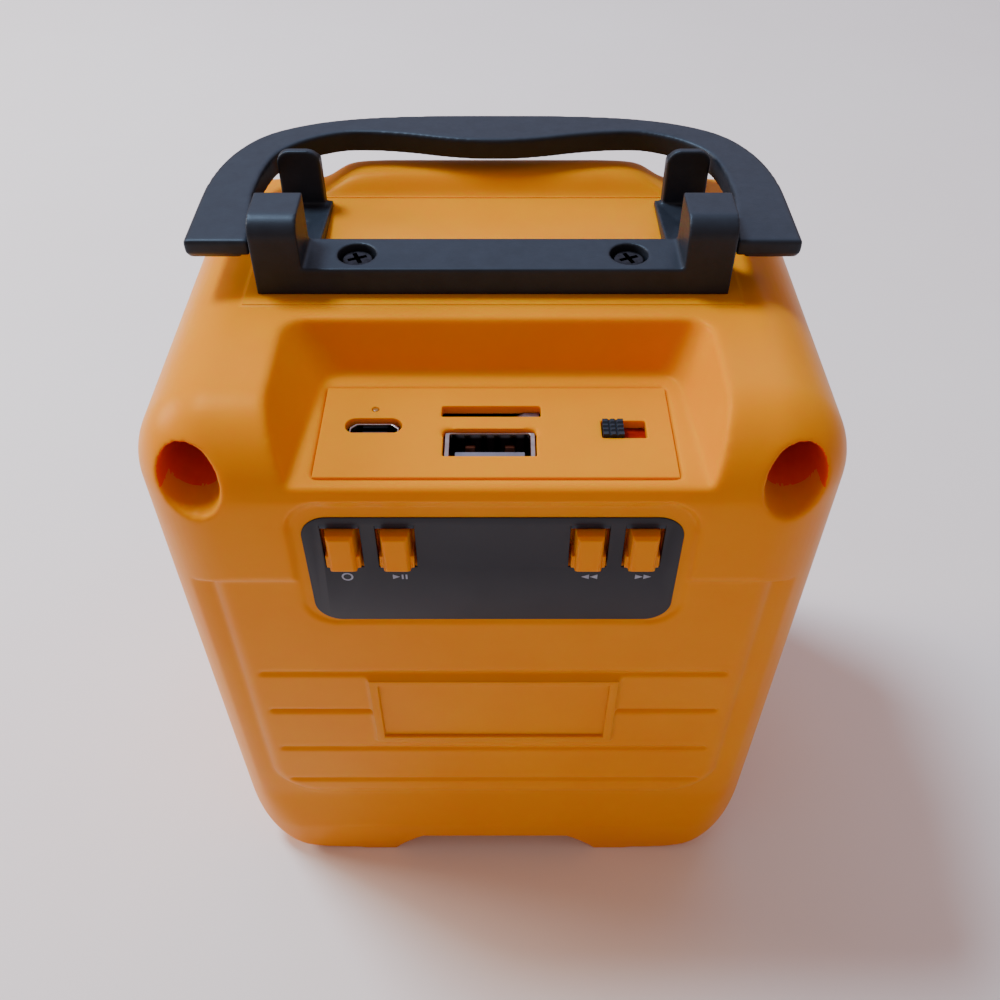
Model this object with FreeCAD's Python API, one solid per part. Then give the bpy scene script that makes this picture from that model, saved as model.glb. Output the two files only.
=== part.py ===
# Portable box speaker with a folding carry handle, a port recess in its rear top edge,
# a four-key panel and a round grille on the far side.
# Millimetres. Origin: middle of the base. +X right and +Z up as seen from the control side,
# which faces -Y. The speaker side faces +Y.

import FreeCAD, Part
import math
import os

V = FreeCAD.Vector
X_AXIS = V(1, 0, 0)
Y_AXIS = V(0, 1, 0)
Z_AXIS = V(0, 0, 1)

# Housing; insets run from the rear face or from the speaker face
BODY_WIDTH = 106.0
BODY_DEPTH = 78.0
BODY_HEIGHT = 119.5
SPLIT_INSET = 13.1
WALL = 2.4
REAR_WALL = 4.2
TOP_ROUND = 13.0
BASE_SIDE_ROUND = 19.0
FRONT_BEVEL = 4.7
CAVITY_TOP_BEVEL = 8.5
CAVITY_BASE_BEVEL = 13.5
CAVITY_REAR_BEVEL = 6.0
CAVITY_FRONT_BEVEL = 3.0
LIP_LENGTH = 3.0
LIP_THICKNESS = 1.2
LIP_CLEARANCE = 0.1

# Rear face relief
LEDGE_Z = 89.3
LEDGE_ROUND = 2.5
COLUMN_DEPTH = 1.8
COLUMN_CORNER_ROUND = 8.5
RAIL_TOP_Z = 10.3
COVE_TOP_Z = 21.0
FIELD_HALF_WIDTH = 44.5
FIELD_BOTTOM_Z = 22.0
FIELD_DEPTH = 0.6
FIELD_CORNER_ROUND = 11.0
FIELD_EDGE_ROUND = 3.5
GROOVE_Z = (65.3, 40.8, 29.0)
SIDE_GROOVE_Z = 53.6
GROOVE_HALF_LENGTH = 40.5
GROOVE_DEPTH = 0.8
FRAME_HALF_WIDTH = 21.8
FRAME_BOTTOM_Z = 44.2
FRAME_TOP_Z = 63.9
FRAME_RIM = 1.6
FRAME_PROUD = 0.6
FRAME_CORNER_ROUND = 2.0
ARCH_HALF_WIDTH = 15.5
ARCH_HEIGHT = 5.5
ARCH_RAMP = 6.0
ARCH_BULGE = 0.4

# Plateau pad and far brow
PAD_HALF_WIDTH = 39.0
PAD_REAR_Y = -7.2
PAD_HEIGHT = 0.25
BROW_FLAT_HALF_WIDTH = 25.0
BROW_HALF_WIDTH = 32.5
BROW_HEIGHT = 3.1
BROW_SINK = 0.4
BROW_RUN = 4.2
BROW_NOSE_ROUND = 6.0
BROW_SHOULDER_ROUND = 9.0
BROW_SKIRT = 10.0
BROW_SKIRT_SPREAD = 4.0
BROW_FRONT_CORNER = 10.5

# Port recess
RECESS_FLOOR_Z = 110.4
RECESS_FLOOR_THICKNESS = 3.2
RECESS_DEPTH = 26.3
RECESS_BACK_SLOPE = 2.3
RECESS_FLOOR_INNER_X = (-26.0, 29.2)
RECESS_FLOOR_OUTER_X = (-29.2, 31.0)
RECESS_TOP_X = (-32.3, 33.4)
RECESS_CORNER_ROUND = 3.5
RECESS_WALL = 2.2

# Port plate and its openings; places are (x, inset from the rear face)
PLATE_X = 0.5
PLATE_HALF_WIDTH = 26.0
PLATE_INSET = 3.2
PLATE_DEPTH = 19.5
PLATE_THICKNESS = 1.6
PLATE_GAP = 0.3
PLATE_LEDGE = 1.6
USB_A_X = -0.4
USB_A_INSET = 10.4
USB_A_CUT_WIDTH = 13.8
USB_A_CUT_DEPTH = 5.9
CARD_X = -0.2
CARD_BEHIND_USB_A = 6.9
CARD_CUT_WIDTH = 15.0
CARD_CUT_DEPTH = 2.4
MICRO_USB_X = -17.8
MICRO_USB_BEHIND_USB_A = 3.5
MICRO_USB_CUT_WIDTH = 8.5
MICRO_USB_CUT_DEPTH = 3.6
LED_X = -17.8
LED_BEHIND_MICRO_USB = 3.9
LED_RADIUS = 0.55
SWITCH_X = 19.6
SWITCH_BEHIND_USB_A = 2.8
SWITCH_CUT_WIDTH = 6.7
SWITCH_CUT_DEPTH = 3.8

# Sockets
SOCKET_SINK = 0.6
SOCKET_GAP = 0.15
USB_A_SHELL_WIDTH = 13.1
USB_A_SHELL_DEPTH = 5.6
USB_A_LENGTH = 14.0
USB_A_SHEET = 0.35
USB_A_INSULATOR_GAP = 0.15
USB_A_BASE_HEIGHT = 3.0
USB_A_TONGUE_WIDTH = 10.4
USB_A_TONGUE_THICKNESS = 2.1
USB_A_TONGUE_SINK = 1.2
CARD_SHELL_WIDTH = 14.4
CARD_LENGTH = 15.0
CARD_WAY_WIDTH = 11.2
CARD_WAY_DEPTH = 1.0
CARD_ROOF = 0.5
CARD_STOP = 1.5
MICRO_USB_SHELL_WIDTH = 7.5
MICRO_USB_SHELL_DEPTH = 2.6
MICRO_USB_BEVEL = 0.9
MICRO_USB_LENGTH = 5.6
MICRO_USB_SHEET = 0.3
MICRO_USB_TONGUE_WIDTH = 3.8
MICRO_USB_TONGUE_THICKNESS = 0.6
MICRO_USB_TONGUE_SINK = 1.0

# Slide switch and indicator
KNOB_WIDTH = 3.1
KNOB_PROUD = 0.6
KNOB_CLEARANCE = 0.15
KNOB_STEM = 1.4
KNOB_STEM_LENGTH = 2.8
KNOB_RIB_DEPTH = 0.28
KNOB_RIBS_ACROSS = 3
KNOB_RIBS_ALONG = 4
SWITCH_BODY_WIDTH = 9.8
SWITCH_BODY_DEPTH = 4.4
SWITCH_BODY_HEIGHT = 5.0
SWITCH_WAY_DEPTH = 2.0
LED_BODY = 2.4
LED_FOOT_HEIGHT = 3.1
LED_CLEARANCE = 0.05

# Boards
PORT_UNDER_GAP = 0.3
BOARD_THICKNESS = 1.6
BOARD_BOTTOM_Z = 60.0
BOARD_SIDE_GAP = 0.9
BOARD_POST_X = 20.0
BOARD_POST_Z = 70.0
BOARD_POST_RADIUS = 2.6
BOARD_SCREW_RADIUS = 1.0
BOARD_SCREW_HEAD_RADIUS = 1.9
BOARD_SCREW_HEAD_HEIGHT = 1.2
BOARD_SCREW_LENGTH = 6.0
KEY_BOARD_THICKNESS = 0.8
KEY_BOARD_SIDE_GAP = 1.0
KEY_BOARD_HEIGHT = 13.0
KEY_POST_X = 8.8
KEY_POST_RADIUS = 1.8
STAKE_RADIUS = 0.8
STAKE_HEIGHT = 0.6
STAKE_CLEARANCE = 0.1

# Components on the inner face of the main board; places are (left x, bottom z)
RADIO_PLACE = (-22.0, 84.0)
RADIO_WIDTH = 14.0
RADIO_HEIGHT = 8.0
RADIO_THICKNESS = 0.8
RADIO_CAN_MARGIN = 1.2
RADIO_CAN_WIDTH = 8.5
RADIO_CAN_THICKNESS = 1.6
CHIP_PLACE = (2.0, 84.0)
CHIP_WIDTH = 6.0
CHIP_HEIGHT = 5.0
CHIP_THICKNESS = 1.6
CAPACITOR_X = 12.0
CAPACITOR_Z = 76.0
CAPACITOR_RADIUS = 3.1
CAPACITOR_LENGTH = 7.5
LEAD_SOCKET_X = (-15.0, -4.0)
LEAD_SOCKET_Z = 62.0
LEAD_SOCKET_WIDTH = 7.0
LEAD_SOCKET_HEIGHT = 5.0
LEAD_SOCKET_WALL = 1.0

# Key panel and keys
POCKET_HALF_WIDTH = 30.5
POCKET_BOTTOM_Z = 79.1
POCKET_TOP_Z = 107.6
POCKET_ROUND = 6.0
POCKET_DEPTH = 1.8
POCKET_SLOPE = 1.0
PANEL_HALF_WIDTH = 28.3
PANEL_BOTTOM_Z = 81.2
PANEL_TOP_Z = 105.1
PANEL_ROUND = 4.2
PANEL_THICKNESS = 1.0
KEY_NAMES = ("mode", "play", "previous", "next")
KEY_X = (-22.5, -14.4, 14.4, 22.5)
KEY_Z = 98.0
KEY_WIDTH = 4.8
KEY_HEIGHT = 8.2
KEY_PROUD = 1.8
KEY_GAP = 0.5
KEY_BEVEL = 0.5
KEY_FLANGE = 0.8
KEY_FLANGE_OVERLAP = 0.8
KEY_TRAVEL = 0.4
KEY_SEAT_GAP = 0.1
TACT_SIZE = 4.6
TACT_HEIGHT = 1.5
TACT_STEM_RADIUS = 0.9
TACT_STEM_SINK = 0.3
TACT_CLEARANCE = 0.15

# Housing screws in the two wells
WELL_X = 43.4
WELL_Z = 110.0
WELL_RADIUS = 3.65
WELL_TUBE_RADIUS = 6.0
WELL_FLOOR = 2.4
WELL_BOTTOM_BEFORE_SPLIT = 6.1
HOUSING_SCREW_RADIUS = 1.5
HOUSING_SCREW_HEAD_RADIUS = 2.9
HOUSING_SCREW_HEAD_HEIGHT = 2.0
HOUSING_SCREW_LENGTH = 16.0
BOSS_RADIUS = 3.8
SCREW_CLEARANCE = 0.2
PILOT_SPARE = 0.5

# Handle bracket
BRACKET_HALF_WIDTH = 37.0
BRACKET_REAR_Y = -4.6
BRACKET_BAR_DEPTH = 9.1
BRACKET_BAR_HEIGHT = 4.6
POST_INNER_X = 29.5
POST_HEIGHT = 12.65
POST_ROUND = 3.0
RAIL_INNER_STEP = 1.3
RAIL_WIDTH = 3.3
RAIL_HEIGHT = 3.05
REAR_POST_BEFORE_SPLIT = 4.0
REAR_POST_THICKNESS = 2.7
REAR_POST_HEIGHT = 10.55
REAR_POST_ROUND = 2.2
REAR_POST_SETBACK = 0.2
GUSSET_LENGTH = 6.0
BRACKET_SCREW_X = 21.4
BRACKET_SCREW_RADIUS = 1.5
BRACKET_SCREW_HEAD_RADIUS = 2.7
BRACKET_SCREW_HEAD_HEIGHT = 1.6
BRACKET_SCREW_LENGTH = 13.0
BRACKET_BORE_RADIUS = 3.0
BRACKET_BORE_DEPTH = 2.4
TOP_BOSS_RADIUS = 4.0
TOP_BOSS_LENGTH = 12.0

# Carry handle, folded down
HANDLE_LIFT = 4.95
HANDLE_THICKNESS = 3.8
HANDLE_END_Y = -3.2
HANDLE_END_BEVEL = 1.6
PIVOT_Y = 0.1
PIVOT_RADIUS = 1.5
PIVOT_CLEARANCE = 0.05
PIVOT_REACH = 5.5
PIVOT_END_GAP = 0.3
# edges of one half from the arm to the middle of the grip: x, y, heading in degrees
HANDLE_OUTER_EDGE = (
    (47.3, 9.0, 90.0),
    (45.5, 23.0, 107.0),
    (37.6, 34.2, 149.0),
    (20.0, 39.3, 175.0),
    (0.0, 40.0, 180.0),
)
HANDLE_INNER_EDGE = (
    (39.0, 11.0, 90.0),
    (37.9, 23.0, 103.5),
    (31.6, 30.9, 149.0),
    (24.0, 33.3, 180.0),
    (16.0, 32.5, 190.0),
    (8.0, 30.75, 191.0),
    (0.0, 30.0, 180.0),
)

# Grille, ring and driver on the speaker side
SPEAKER_Z = 60.0
APERTURE_RADIUS = 34.5
DRIVER_FLATS = 24
RING_OUTER_RADIUS = 45.5
RING_INNER_RADIUS = 38.0
RING_PROUD = 1.0
RING_SEAT_DEPTH = 1.2
RING_GAP = 0.2
GRILLE_THICKNESS = 0.8
GRILLE_HOLE = 7.2
GRILLE_PITCH = 9.6
GRILLE_MARGIN = 0.8
MOUNT_PAD_DEPTH = 2.0
MOUNT_PAD_HALF_WIDTH = 40.0
MOUNT_PAD_CORNER = 18.0
FLANGE_HALF_WIDTH = 37.5
FLANGE_CORNER = 16.0
FLANGE_THICKNESS = 1.2
BASKET_CORNER = 20.0
BASKET_DEPTH = 17.2
BASKET_REAR_HALF_WIDTH = 23.0
BASKET_WALL = 0.8
MAGNET_RADIUS = 22.0
MAGNET_LENGTH = 13.0
SURROUND_OUTER_RADIUS = 34.0
SURROUND_INNER_RADIUS = 27.0
SURROUND_SEAT = 1.4
SURROUND_HEIGHT = 2.0
CONE_RADIUS = 28.0
CONE_THICKNESS = 1.0
CAP_RADIUS = 11.5
CAP_RISE = 1.4

# Battery
CELL_RADIUS = 9.1
CELL_LENGTH = 65.0
CELL_INSET = 20.0
CELL_NUB_RADIUS = 3.0
CELL_NUB_HEIGHT = 1.2
CRADLE_WALL = 1.6
CRADLE_FLOOR = 2.0
CRADLE_RISE = 3.6
CRADLE_CLEARANCE = 0.3

# Values worked out from the ones above
HALF_WIDTH = BODY_WIDTH / 2
REAR_Y = -BODY_DEPTH / 2
FRONT_Y = BODY_DEPTH / 2
SPLIT_Y = FRONT_Y - SPLIT_INSET
CAVITY_REAR_Y = REAR_Y + REAR_WALL
CAVITY_FRONT_Y = FRONT_Y - WALL
FIELD_Y = REAR_Y + FIELD_DEPTH
COLUMN_Y = REAR_Y + COLUMN_DEPTH
RECESS_BACK_Y = REAR_Y + RECESS_DEPTH
PLATE_REAR_Y = REAR_Y + PLATE_INSET
PLATE_FRONT_Y = PLATE_REAR_Y + PLATE_DEPTH
USB_A_Y = REAR_Y + USB_A_INSET
CARD_Y = USB_A_Y + CARD_BEHIND_USB_A
MICRO_USB_Y = USB_A_Y + MICRO_USB_BEHIND_USB_A
LED_Y = MICRO_USB_Y + LED_BEHIND_MICRO_USB
SWITCH_Y = USB_A_Y + SWITCH_BEHIND_USB_A
PAD_Z = BODY_HEIGHT + PAD_HEIGHT
POCKET_FLOOR_Y = REAR_Y + POCKET_DEPTH
PANEL_Y = POCKET_FLOOR_Y - PANEL_THICKNESS
KEY_FACE_Y = PANEL_Y - KEY_PROUD
KEY_FLANGE_Y = CAVITY_REAR_Y + KEY_SEAT_GAP
KEY_FLANGE_REACH = KEY_GAP + KEY_FLANGE_OVERLAP
TACT_FACE_Y = KEY_FLANGE_Y + KEY_FLANGE + KEY_TRAVEL
KEY_BOARD_Y = TACT_FACE_Y + TACT_HEIGHT - KEY_TRAVEL
KEY_BOARD_BACK_Y = KEY_BOARD_Y + KEY_BOARD_THICKNESS
PLATE_UNDER_Z = RECESS_FLOOR_Z - PLATE_THICKNESS
FLOOR_UNDER_Z = RECESS_FLOOR_Z - RECESS_FLOOR_THICKNESS
SOCKET_TOP_Z = RECESS_FLOOR_Z - SOCKET_SINK
BOARD_TOP_Z = PLATE_UNDER_Z - PORT_UNDER_GAP
BOARD_HALF_WIDTH = PLATE_HALF_WIDTH - PLATE_LEDGE - BOARD_SIDE_GAP
BOARD_REAR_Y = USB_A_Y + USB_A_SHELL_DEPTH / 2
BOARD_FRONT_Y = BOARD_REAR_Y + BOARD_THICKNESS
BRACKET_FRONT_Y = BRACKET_REAR_Y + BRACKET_BAR_DEPTH
BAR_TOP_Z = PAD_Z + BRACKET_BAR_HEIGHT
POST_TOP_Z = PAD_Z + POST_HEIGHT
REAR_POST_Y = SPLIT_Y - REAR_POST_BEFORE_SPLIT
REAR_POST_TOP_Z = PAD_Z + REAR_POST_HEIGHT
BRACKET_SCREW_Y = (BRACKET_REAR_Y + BRACKET_FRONT_Y) / 2
BRACKET_SCREW_SEAT_Z = BAR_TOP_Z - BRACKET_BORE_DEPTH
BRACKET_SCREW_END_Z = BRACKET_SCREW_SEAT_Z - BRACKET_SCREW_LENGTH
TOP_WALL_UNDER_Z = BODY_HEIGHT - WALL
WELL_BOTTOM_Y = SPLIT_Y - WELL_BOTTOM_BEFORE_SPLIT
HANDLE_UNDER_Z = PAD_Z + HANDLE_LIFT
HANDLE_TOP_Z = HANDLE_UNDER_Z + HANDLE_THICKNESS
HANDLE_OUTER_X = HANDLE_OUTER_EDGE[0][0]
HANDLE_INNER_X = HANDLE_INNER_EDGE[0][0]
PIVOT_Z = HANDLE_TOP_Z - HANDLE_THICKNESS / 2
RING_SEAT_Y = FRONT_Y - RING_SEAT_DEPTH
FLANGE_Y = CAVITY_FRONT_Y - MOUNT_PAD_DEPTH
BASKET_FRONT_Y = FLANGE_Y - FLANGE_THICKNESS
BASKET_REAR_Y = FLANGE_Y - BASKET_DEPTH
HUMP_TOP_Z = ARCH_HEIGHT + WALL
HUMP_HALF_WIDTH = ARCH_HALF_WIDTH + ARCH_RAMP + WALL
CELL_Y = REAR_Y + CELL_INSET
CELL_Z = HUMP_TOP_Z + CRADLE_FLOOR + CELL_RADIUS + CRADLE_CLEARANCE

DOCUMENT = FreeCAD.newDocument("speaker")


def box(x0, x1, y0, y1, z0, z1):
    return Part.makeBox(x1 - x0, y1 - y0, z1 - z0, V(x0, y0, z0))


def rod_x(y, z, radius, x0, x1):
    return Part.makeCylinder(radius, x1 - x0, V(x0, y, z), X_AXIS)


def rod_y(x, z, radius, y0, y1):
    return Part.makeCylinder(radius, y1 - y0, V(x, y0, z), Y_AXIS)


def rod_z(x, y, radius, z0, z1):
    return Part.makeCylinder(radius, z1 - z0, V(x, y, z0), Z_AXIS)


def hexagon(radius):
    """Corners of a hexagon whose corners lie at the radius."""
    angles = [math.radians(60 * step + 30) for step in range(6)]
    return [(radius * math.cos(a), radius * math.sin(a)) for a in angles]


def hex_rod_y(x, z, radius, y0, y1):
    corners = [V(x + u, y0, z + v) for u, v in hexagon(radius)]
    return Part.Face(Part.makePolygon(corners + corners[:1])).extrude(V(0, y1 - y0, 0))


def hex_rod_z(x, y, radius, z0, z1):
    corners = [V(x + u, y + v, z0) for u, v in hexagon(radius)]
    return Part.Face(Part.makePolygon(corners + corners[:1])).extrude(V(0, 0, z1 - z0))


def flat_rod_y(radius, y0, y1):
    """Many-sided rod about the speaker axis, its corners at the radius."""
    corners = []
    for step in range(DRIVER_FLATS):
        a = 2 * math.pi * step / DRIVER_FLATS
        corners.append(V(radius * math.cos(a), y0, SPEAKER_Z + radius * math.sin(a)))
    return Part.Face(Part.makePolygon(corners + corners[:1])).extrude(V(0, y1 - y0, 0))


def fused(shapes):
    return shapes[0].fuse(shapes[1:]).removeSplitter()


def mirrored(shape):
    return shape.mirror(V(0, 0, 0), X_AXIS)


def with_mirror(shape):
    return [shape, mirrored(shape)]


def group(shapes):
    return Part.makeCompound(shapes)


def same(a, b):
    return abs(a - b) < 1e-6


def arc(start, middle, end):
    return Part.Arc(start, middle, end).toShape()


def rounded_rectangle(half_u, v0, v1, low_radius, high_radius, place):
    """Closed wire of a rectangle with round corners; place maps (u, v) to a point."""
    a = low_radius
    b = high_radius
    share = 1 - math.sqrt(0.5)
    corners = (
        ((half_u - a, v0), (half_u - a * share, v0 + a * share), (half_u, v0 + a)),
        ((half_u, v1 - b), (half_u - b * share, v1 - b * share), (half_u - b, v1)),
        ((-half_u + b, v1), (-half_u + b * share, v1 - b * share), (-half_u, v1 - b)),
        ((-half_u, v0 + a), (-half_u + a * share, v0 + a * share), (-half_u + a, v0)),
    )
    edges = []
    for index, (start, middle, end) in enumerate(corners):
        edges.append(arc(place(*start), place(*middle), place(*end)))
        following = corners[(index + 1) % 4][0]
        edges.append(Part.makeLine(place(*end), place(*following)))
    return Part.Wire(edges)


def rear_prism(half_width, z0, z1, radius, y0, y1):
    """Round-cornered slab seen from the rear, from y0 to y1."""
    wire = rounded_rectangle(half_width, z0, z1, radius, radius, lambda u, v: V(u, y0, v))
    return Part.Face(wire).extrude(V(0, y1 - y0, 0))


def rear_flare(half_width, z0, z1, radius, y_outer, y_inner, slope):
    """Slab whose walls lean inwards by slope from y_outer to y_inner."""
    small = radius - slope
    outer = rounded_rectangle(half_width, z0, z1, radius, radius, lambda u, v: V(u, y_outer, v))
    inner = rounded_rectangle(
        half_width - slope, z0 + slope, z1 - slope, small, small, lambda u, v: V(u, y_inner, v)
    )
    return Part.makeLoft([outer, inner], True, True)


def turned(points, centre_z=SPEAKER_Z):
    """Ring turned about the speaker axis from (radius, y) points, straight between them."""
    corners = [V(r, y, centre_z) for r, y in points]
    face = Part.Face(Part.makePolygon(corners + corners[:1]))
    return face.revolve(V(0, 0, centre_z), Y_AXIS, 360)


def fillet_rules(shape, rules):
    """Round the edges that each (test, radius) rule picks, all in one step."""
    base = DOCUMENT.addObject("Part::Feature", "Base")
    base.Shape = shape
    picked = []
    for number, edge in enumerate(shape.Edges, 1):
        for test, radius in rules:
            if test(edge.BoundBox):
                picked.append((number, radius, radius))
                break
    feature = DOCUMENT.addObject("Part::Fillet", "Rounded")
    feature.Base = base
    feature.Edges = picked
    DOCUMENT.recompute()
    return feature.Shape.copy()


def cavity_prism(gap, y0, y1):
    """Eight-sided inner section of the housing, smaller by a gap, drawn out along Y."""
    w = HALF_WIDTH - WALL - gap
    low = WALL + gap
    high = BODY_HEIGHT - WALL - gap
    base = CAVITY_BASE_BEVEL
    top = CAVITY_TOP_BEVEL
    points = (
        (w - base, low), (w, low + base), (w, high - top), (w - top, high),
        (top - w, high), (-w, high - top), (-w, low + base), (base - w, low),
    )
    corners = [V(x, y0, z) for x, z in points]
    return Part.Face(Part.makePolygon(corners + corners[:1])).extrude(V(0, y1 - y0, 0))


def edges_at_y(shape, y):
    return [e for e in shape.Edges if same(e.BoundBox.YMin, y) and same(e.BoundBox.YMax, y)]


def housing_block():
    """Outer form: the same round at the top corners behind, an even bevel at the speaker face."""
    block = box(-HALF_WIDTH, HALF_WIDTH, REAR_Y, FRONT_Y, 0, BODY_HEIGHT)

    def along_y(b):
        return not same(b.YMin, b.YMax)

    def rear(b):
        return same(b.YMax, REAR_Y)

    rules = (
        (lambda b: along_y(b) and same(b.ZMax, BODY_HEIGHT), TOP_ROUND),
        (lambda b: along_y(b), BASE_SIDE_ROUND),
        (lambda b: rear(b) and not same(b.ZMax, 0), TOP_ROUND),
    )
    block = fillet_rules(block, rules)
    return block.makeChamfer(FRONT_BEVEL, edges_at_y(block, FRONT_Y))


def cavity_form():
    """Hollow of the housing with bevels where the outer form is round."""
    block = cavity_prism(0, CAVITY_REAR_Y, CAVITY_FRONT_Y)
    block = block.makeChamfer(CAVITY_REAR_BEVEL, edges_at_y(block, CAVITY_REAR_Y))
    return block.makeChamfer(CAVITY_FRONT_BEVEL, edges_at_y(block, CAVITY_FRONT_Y))


def plan_profile(rear_y, corner, z):
    """Horizontal section of the body with round rear corners."""
    k = corner * (1 - math.sqrt(0.5))
    w = HALF_WIDTH
    edges = [
        arc(V(-w, rear_y + corner, z), V(-w + k, rear_y + k, z), V(-w + corner, rear_y, z)),
        Part.makeLine(V(-w + corner, rear_y, z), V(w - corner, rear_y, z)),
        arc(V(w - corner, rear_y, z), V(w - k, rear_y + k, z), V(w, rear_y + corner, z)),
        Part.makeLine(V(w, rear_y + corner, z), V(w, FRONT_Y, z)),
        Part.makeLine(V(w, FRONT_Y, z), V(-w, FRONT_Y, z)),
        Part.makeLine(V(-w, FRONT_Y, z), V(-w, rear_y + corner, z)),
    ]
    return Part.Wire(edges)


def column_core():
    """Body behind the side columns: straight above the cove, flaring out to the bottom rail."""
    lower = plan_profile(REAR_Y, TOP_ROUND, RAIL_TOP_Z)
    upper = plan_profile(COLUMN_Y, COLUMN_CORNER_ROUND, COVE_TOP_Z)
    cove = Part.makeLoft([lower, upper], True, True)
    straight = Part.Face(upper).extrude(V(0, 0, BODY_HEIGHT - COVE_TOP_Z))
    return cove.fuse(straight)


def central_field():
    """Raised middle field of the rear face with soft edges, running up into the upper block."""
    slab = rear_prism(
        FIELD_HALF_WIDTH, FIELD_BOTTOM_Z, LEDGE_Z + 2 * FIELD_CORNER_ROUND, FIELD_CORNER_ROUND, FIELD_Y, 0.0
    )
    return slab.makeFillet(FIELD_EDGE_ROUND, edges_at_y(slab, FIELD_Y))


def upper_block():
    block = box(-HALF_WIDTH, HALF_WIDTH, REAR_Y, FRONT_Y, LEDGE_Z, BODY_HEIGHT)
    edges = [e for e in edges_at_y(block, REAR_Y) if same(e.BoundBox.ZMax, LEDGE_Z)]
    return block.makeFillet(LEDGE_ROUND, edges)


def outer_form():
    rail = box(-HALF_WIDTH, HALF_WIDTH, REAR_Y, FRONT_Y, 0, RAIL_TOP_Z)
    relief = fused([rail, column_core(), central_field(), upper_block()])
    return housing_block().common(relief)


def arch_cutter():
    """Low arch under the base that leaves a moulded foot on each side."""
    w = ARCH_HALF_WIDTH
    ramp = w + ARCH_RAMP
    middle = w + ARCH_RAMP / 2
    h = ARCH_HEIGHT
    below = -h

    def at(x, z):
        return V(x, REAR_Y - 1, z)

    edges = [
        arc(at(ramp, 0), at(middle, h / 2 + ARCH_BULGE), at(w, h)),
        Part.makeLine(at(w, h), at(-w, h)),
        arc(at(-w, h), at(-middle, h / 2 + ARCH_BULGE), at(-ramp, 0)),
        Part.makeLine(at(-ramp, 0), at(-ramp, below)),
        Part.makeLine(at(-ramp, below), at(ramp, below)),
        Part.makeLine(at(ramp, below), at(ramp, 0)),
    ]
    return Part.Face(Part.Wire(edges)).extrude(V(0, BODY_DEPTH + 2, 0))


def groove(z, x0, x1):
    """Shallow three-sided groove along X in the raised field."""
    d = GROOVE_DEPTH
    points = [V(x0, FIELD_Y - d, z - 2 * d), V(x0, FIELD_Y + d, z), V(x0, FIELD_Y - d, z + 2 * d)]
    return Part.Face(Part.makePolygon(points + points[:1])).extrude(V(x1 - x0, 0, 0))


def groove_cutters():
    cutters = [groove(z, -GROOVE_HALF_LENGTH, GROOVE_HALF_LENGTH) for z in GROOVE_Z]
    return cutters + with_mirror(groove(SIDE_GROOVE_Z, FRAME_HALF_WIDTH, GROOVE_HALF_LENGTH))


def raised_frame():
    face_y = FIELD_Y - FRAME_PROUD
    outer = box(-FRAME_HALF_WIDTH, FRAME_HALF_WIDTH, face_y, FIELD_Y + 1, FRAME_BOTTOM_Z, FRAME_TOP_Z)
    half_rim = FRAME_RIM / 2
    inner = rear_flare(
        FRAME_HALF_WIDTH - half_rim, FRAME_BOTTOM_Z + half_rim, FRAME_TOP_Z - half_rim,
        FRAME_CORNER_ROUND, face_y, FIELD_Y + 1, half_rim,
    )
    return outer.cut(inner)


def recess_profile(outer_x, inner_x, back_y, z):
    """Trapezium of the port recess at one height, with round inner corners, open to the rear."""
    open_y = REAR_Y - RECESS_DEPTH / 2
    r = RECESS_CORNER_ROUND
    k = r * (1 - math.sqrt(0.5))
    corners = []
    for side, outer, inner in zip((-1, 1), outer_x, inner_x):
        slant = (outer - inner) / (back_y - REAR_Y)
        corners.append((
            V(inner + slant * (back_y - open_y), open_y, z), V(inner + slant * r, back_y - r, z),
            V(inner - side * k, back_y - k, z), V(inner - side * r, back_y, z),
        ))
    left, right = corners
    edges = [
        Part.makeLine(left[0], left[1]),
        arc(left[1], left[2], left[3]),
        Part.makeLine(left[3], right[3]),
        arc(right[3], right[2], right[1]),
        Part.makeLine(right[1], right[0]),
        Part.makeLine(right[0], left[0]),
    ]
    return Part.Wire(edges)


def recess_form():
    """Port recess, a little wider on the right: a loft from the floor to just above the plateau."""
    rise = BODY_HEIGHT - RECESS_FLOOR_Z

    def section(z):
        at = (z - RECESS_FLOOR_Z) / rise
        outer_x = [low + (top - low) * at for low, top in zip(RECESS_FLOOR_OUTER_X, RECESS_TOP_X)]
        inner_x = [low + (top - low) * at for low, top in zip(RECESS_FLOOR_INNER_X, RECESS_TOP_X)]
        return recess_profile(outer_x, inner_x, RECESS_BACK_Y + RECESS_BACK_SLOPE * at, z)

    return Part.makeLoft([section(RECESS_FLOOR_Z), section(BODY_HEIGHT + 1)], True, True)


def plate_slab(gap, z0, z1):
    half = PLATE_HALF_WIDTH + gap
    return box(PLATE_X - half, PLATE_X + half, PLATE_REAR_Y - gap, PLATE_FRONT_Y + gap, z0, z1)


def key_hole(x, y0, y1):
    half_width = KEY_WIDTH / 2 + KEY_GAP
    half_height = KEY_HEIGHT / 2 + KEY_GAP
    return box(x - half_width, x + half_width, y0, y1, KEY_Z - half_height, KEY_Z + half_height)


def key_pocket():
    return rear_flare(
        POCKET_HALF_WIDTH, POCKET_BOTTOM_Z, POCKET_TOP_Z, POCKET_ROUND, REAR_Y, POCKET_FLOOR_Y, POCKET_SLOPE
    )


def hump(y0, y1):
    """Inner side of the arch: the floor of the shell steps over it."""
    return box(-HUMP_HALF_WIDTH, HUMP_HALF_WIDTH, y0, y1, WALL / 2, HUMP_TOP_Z)


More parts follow.
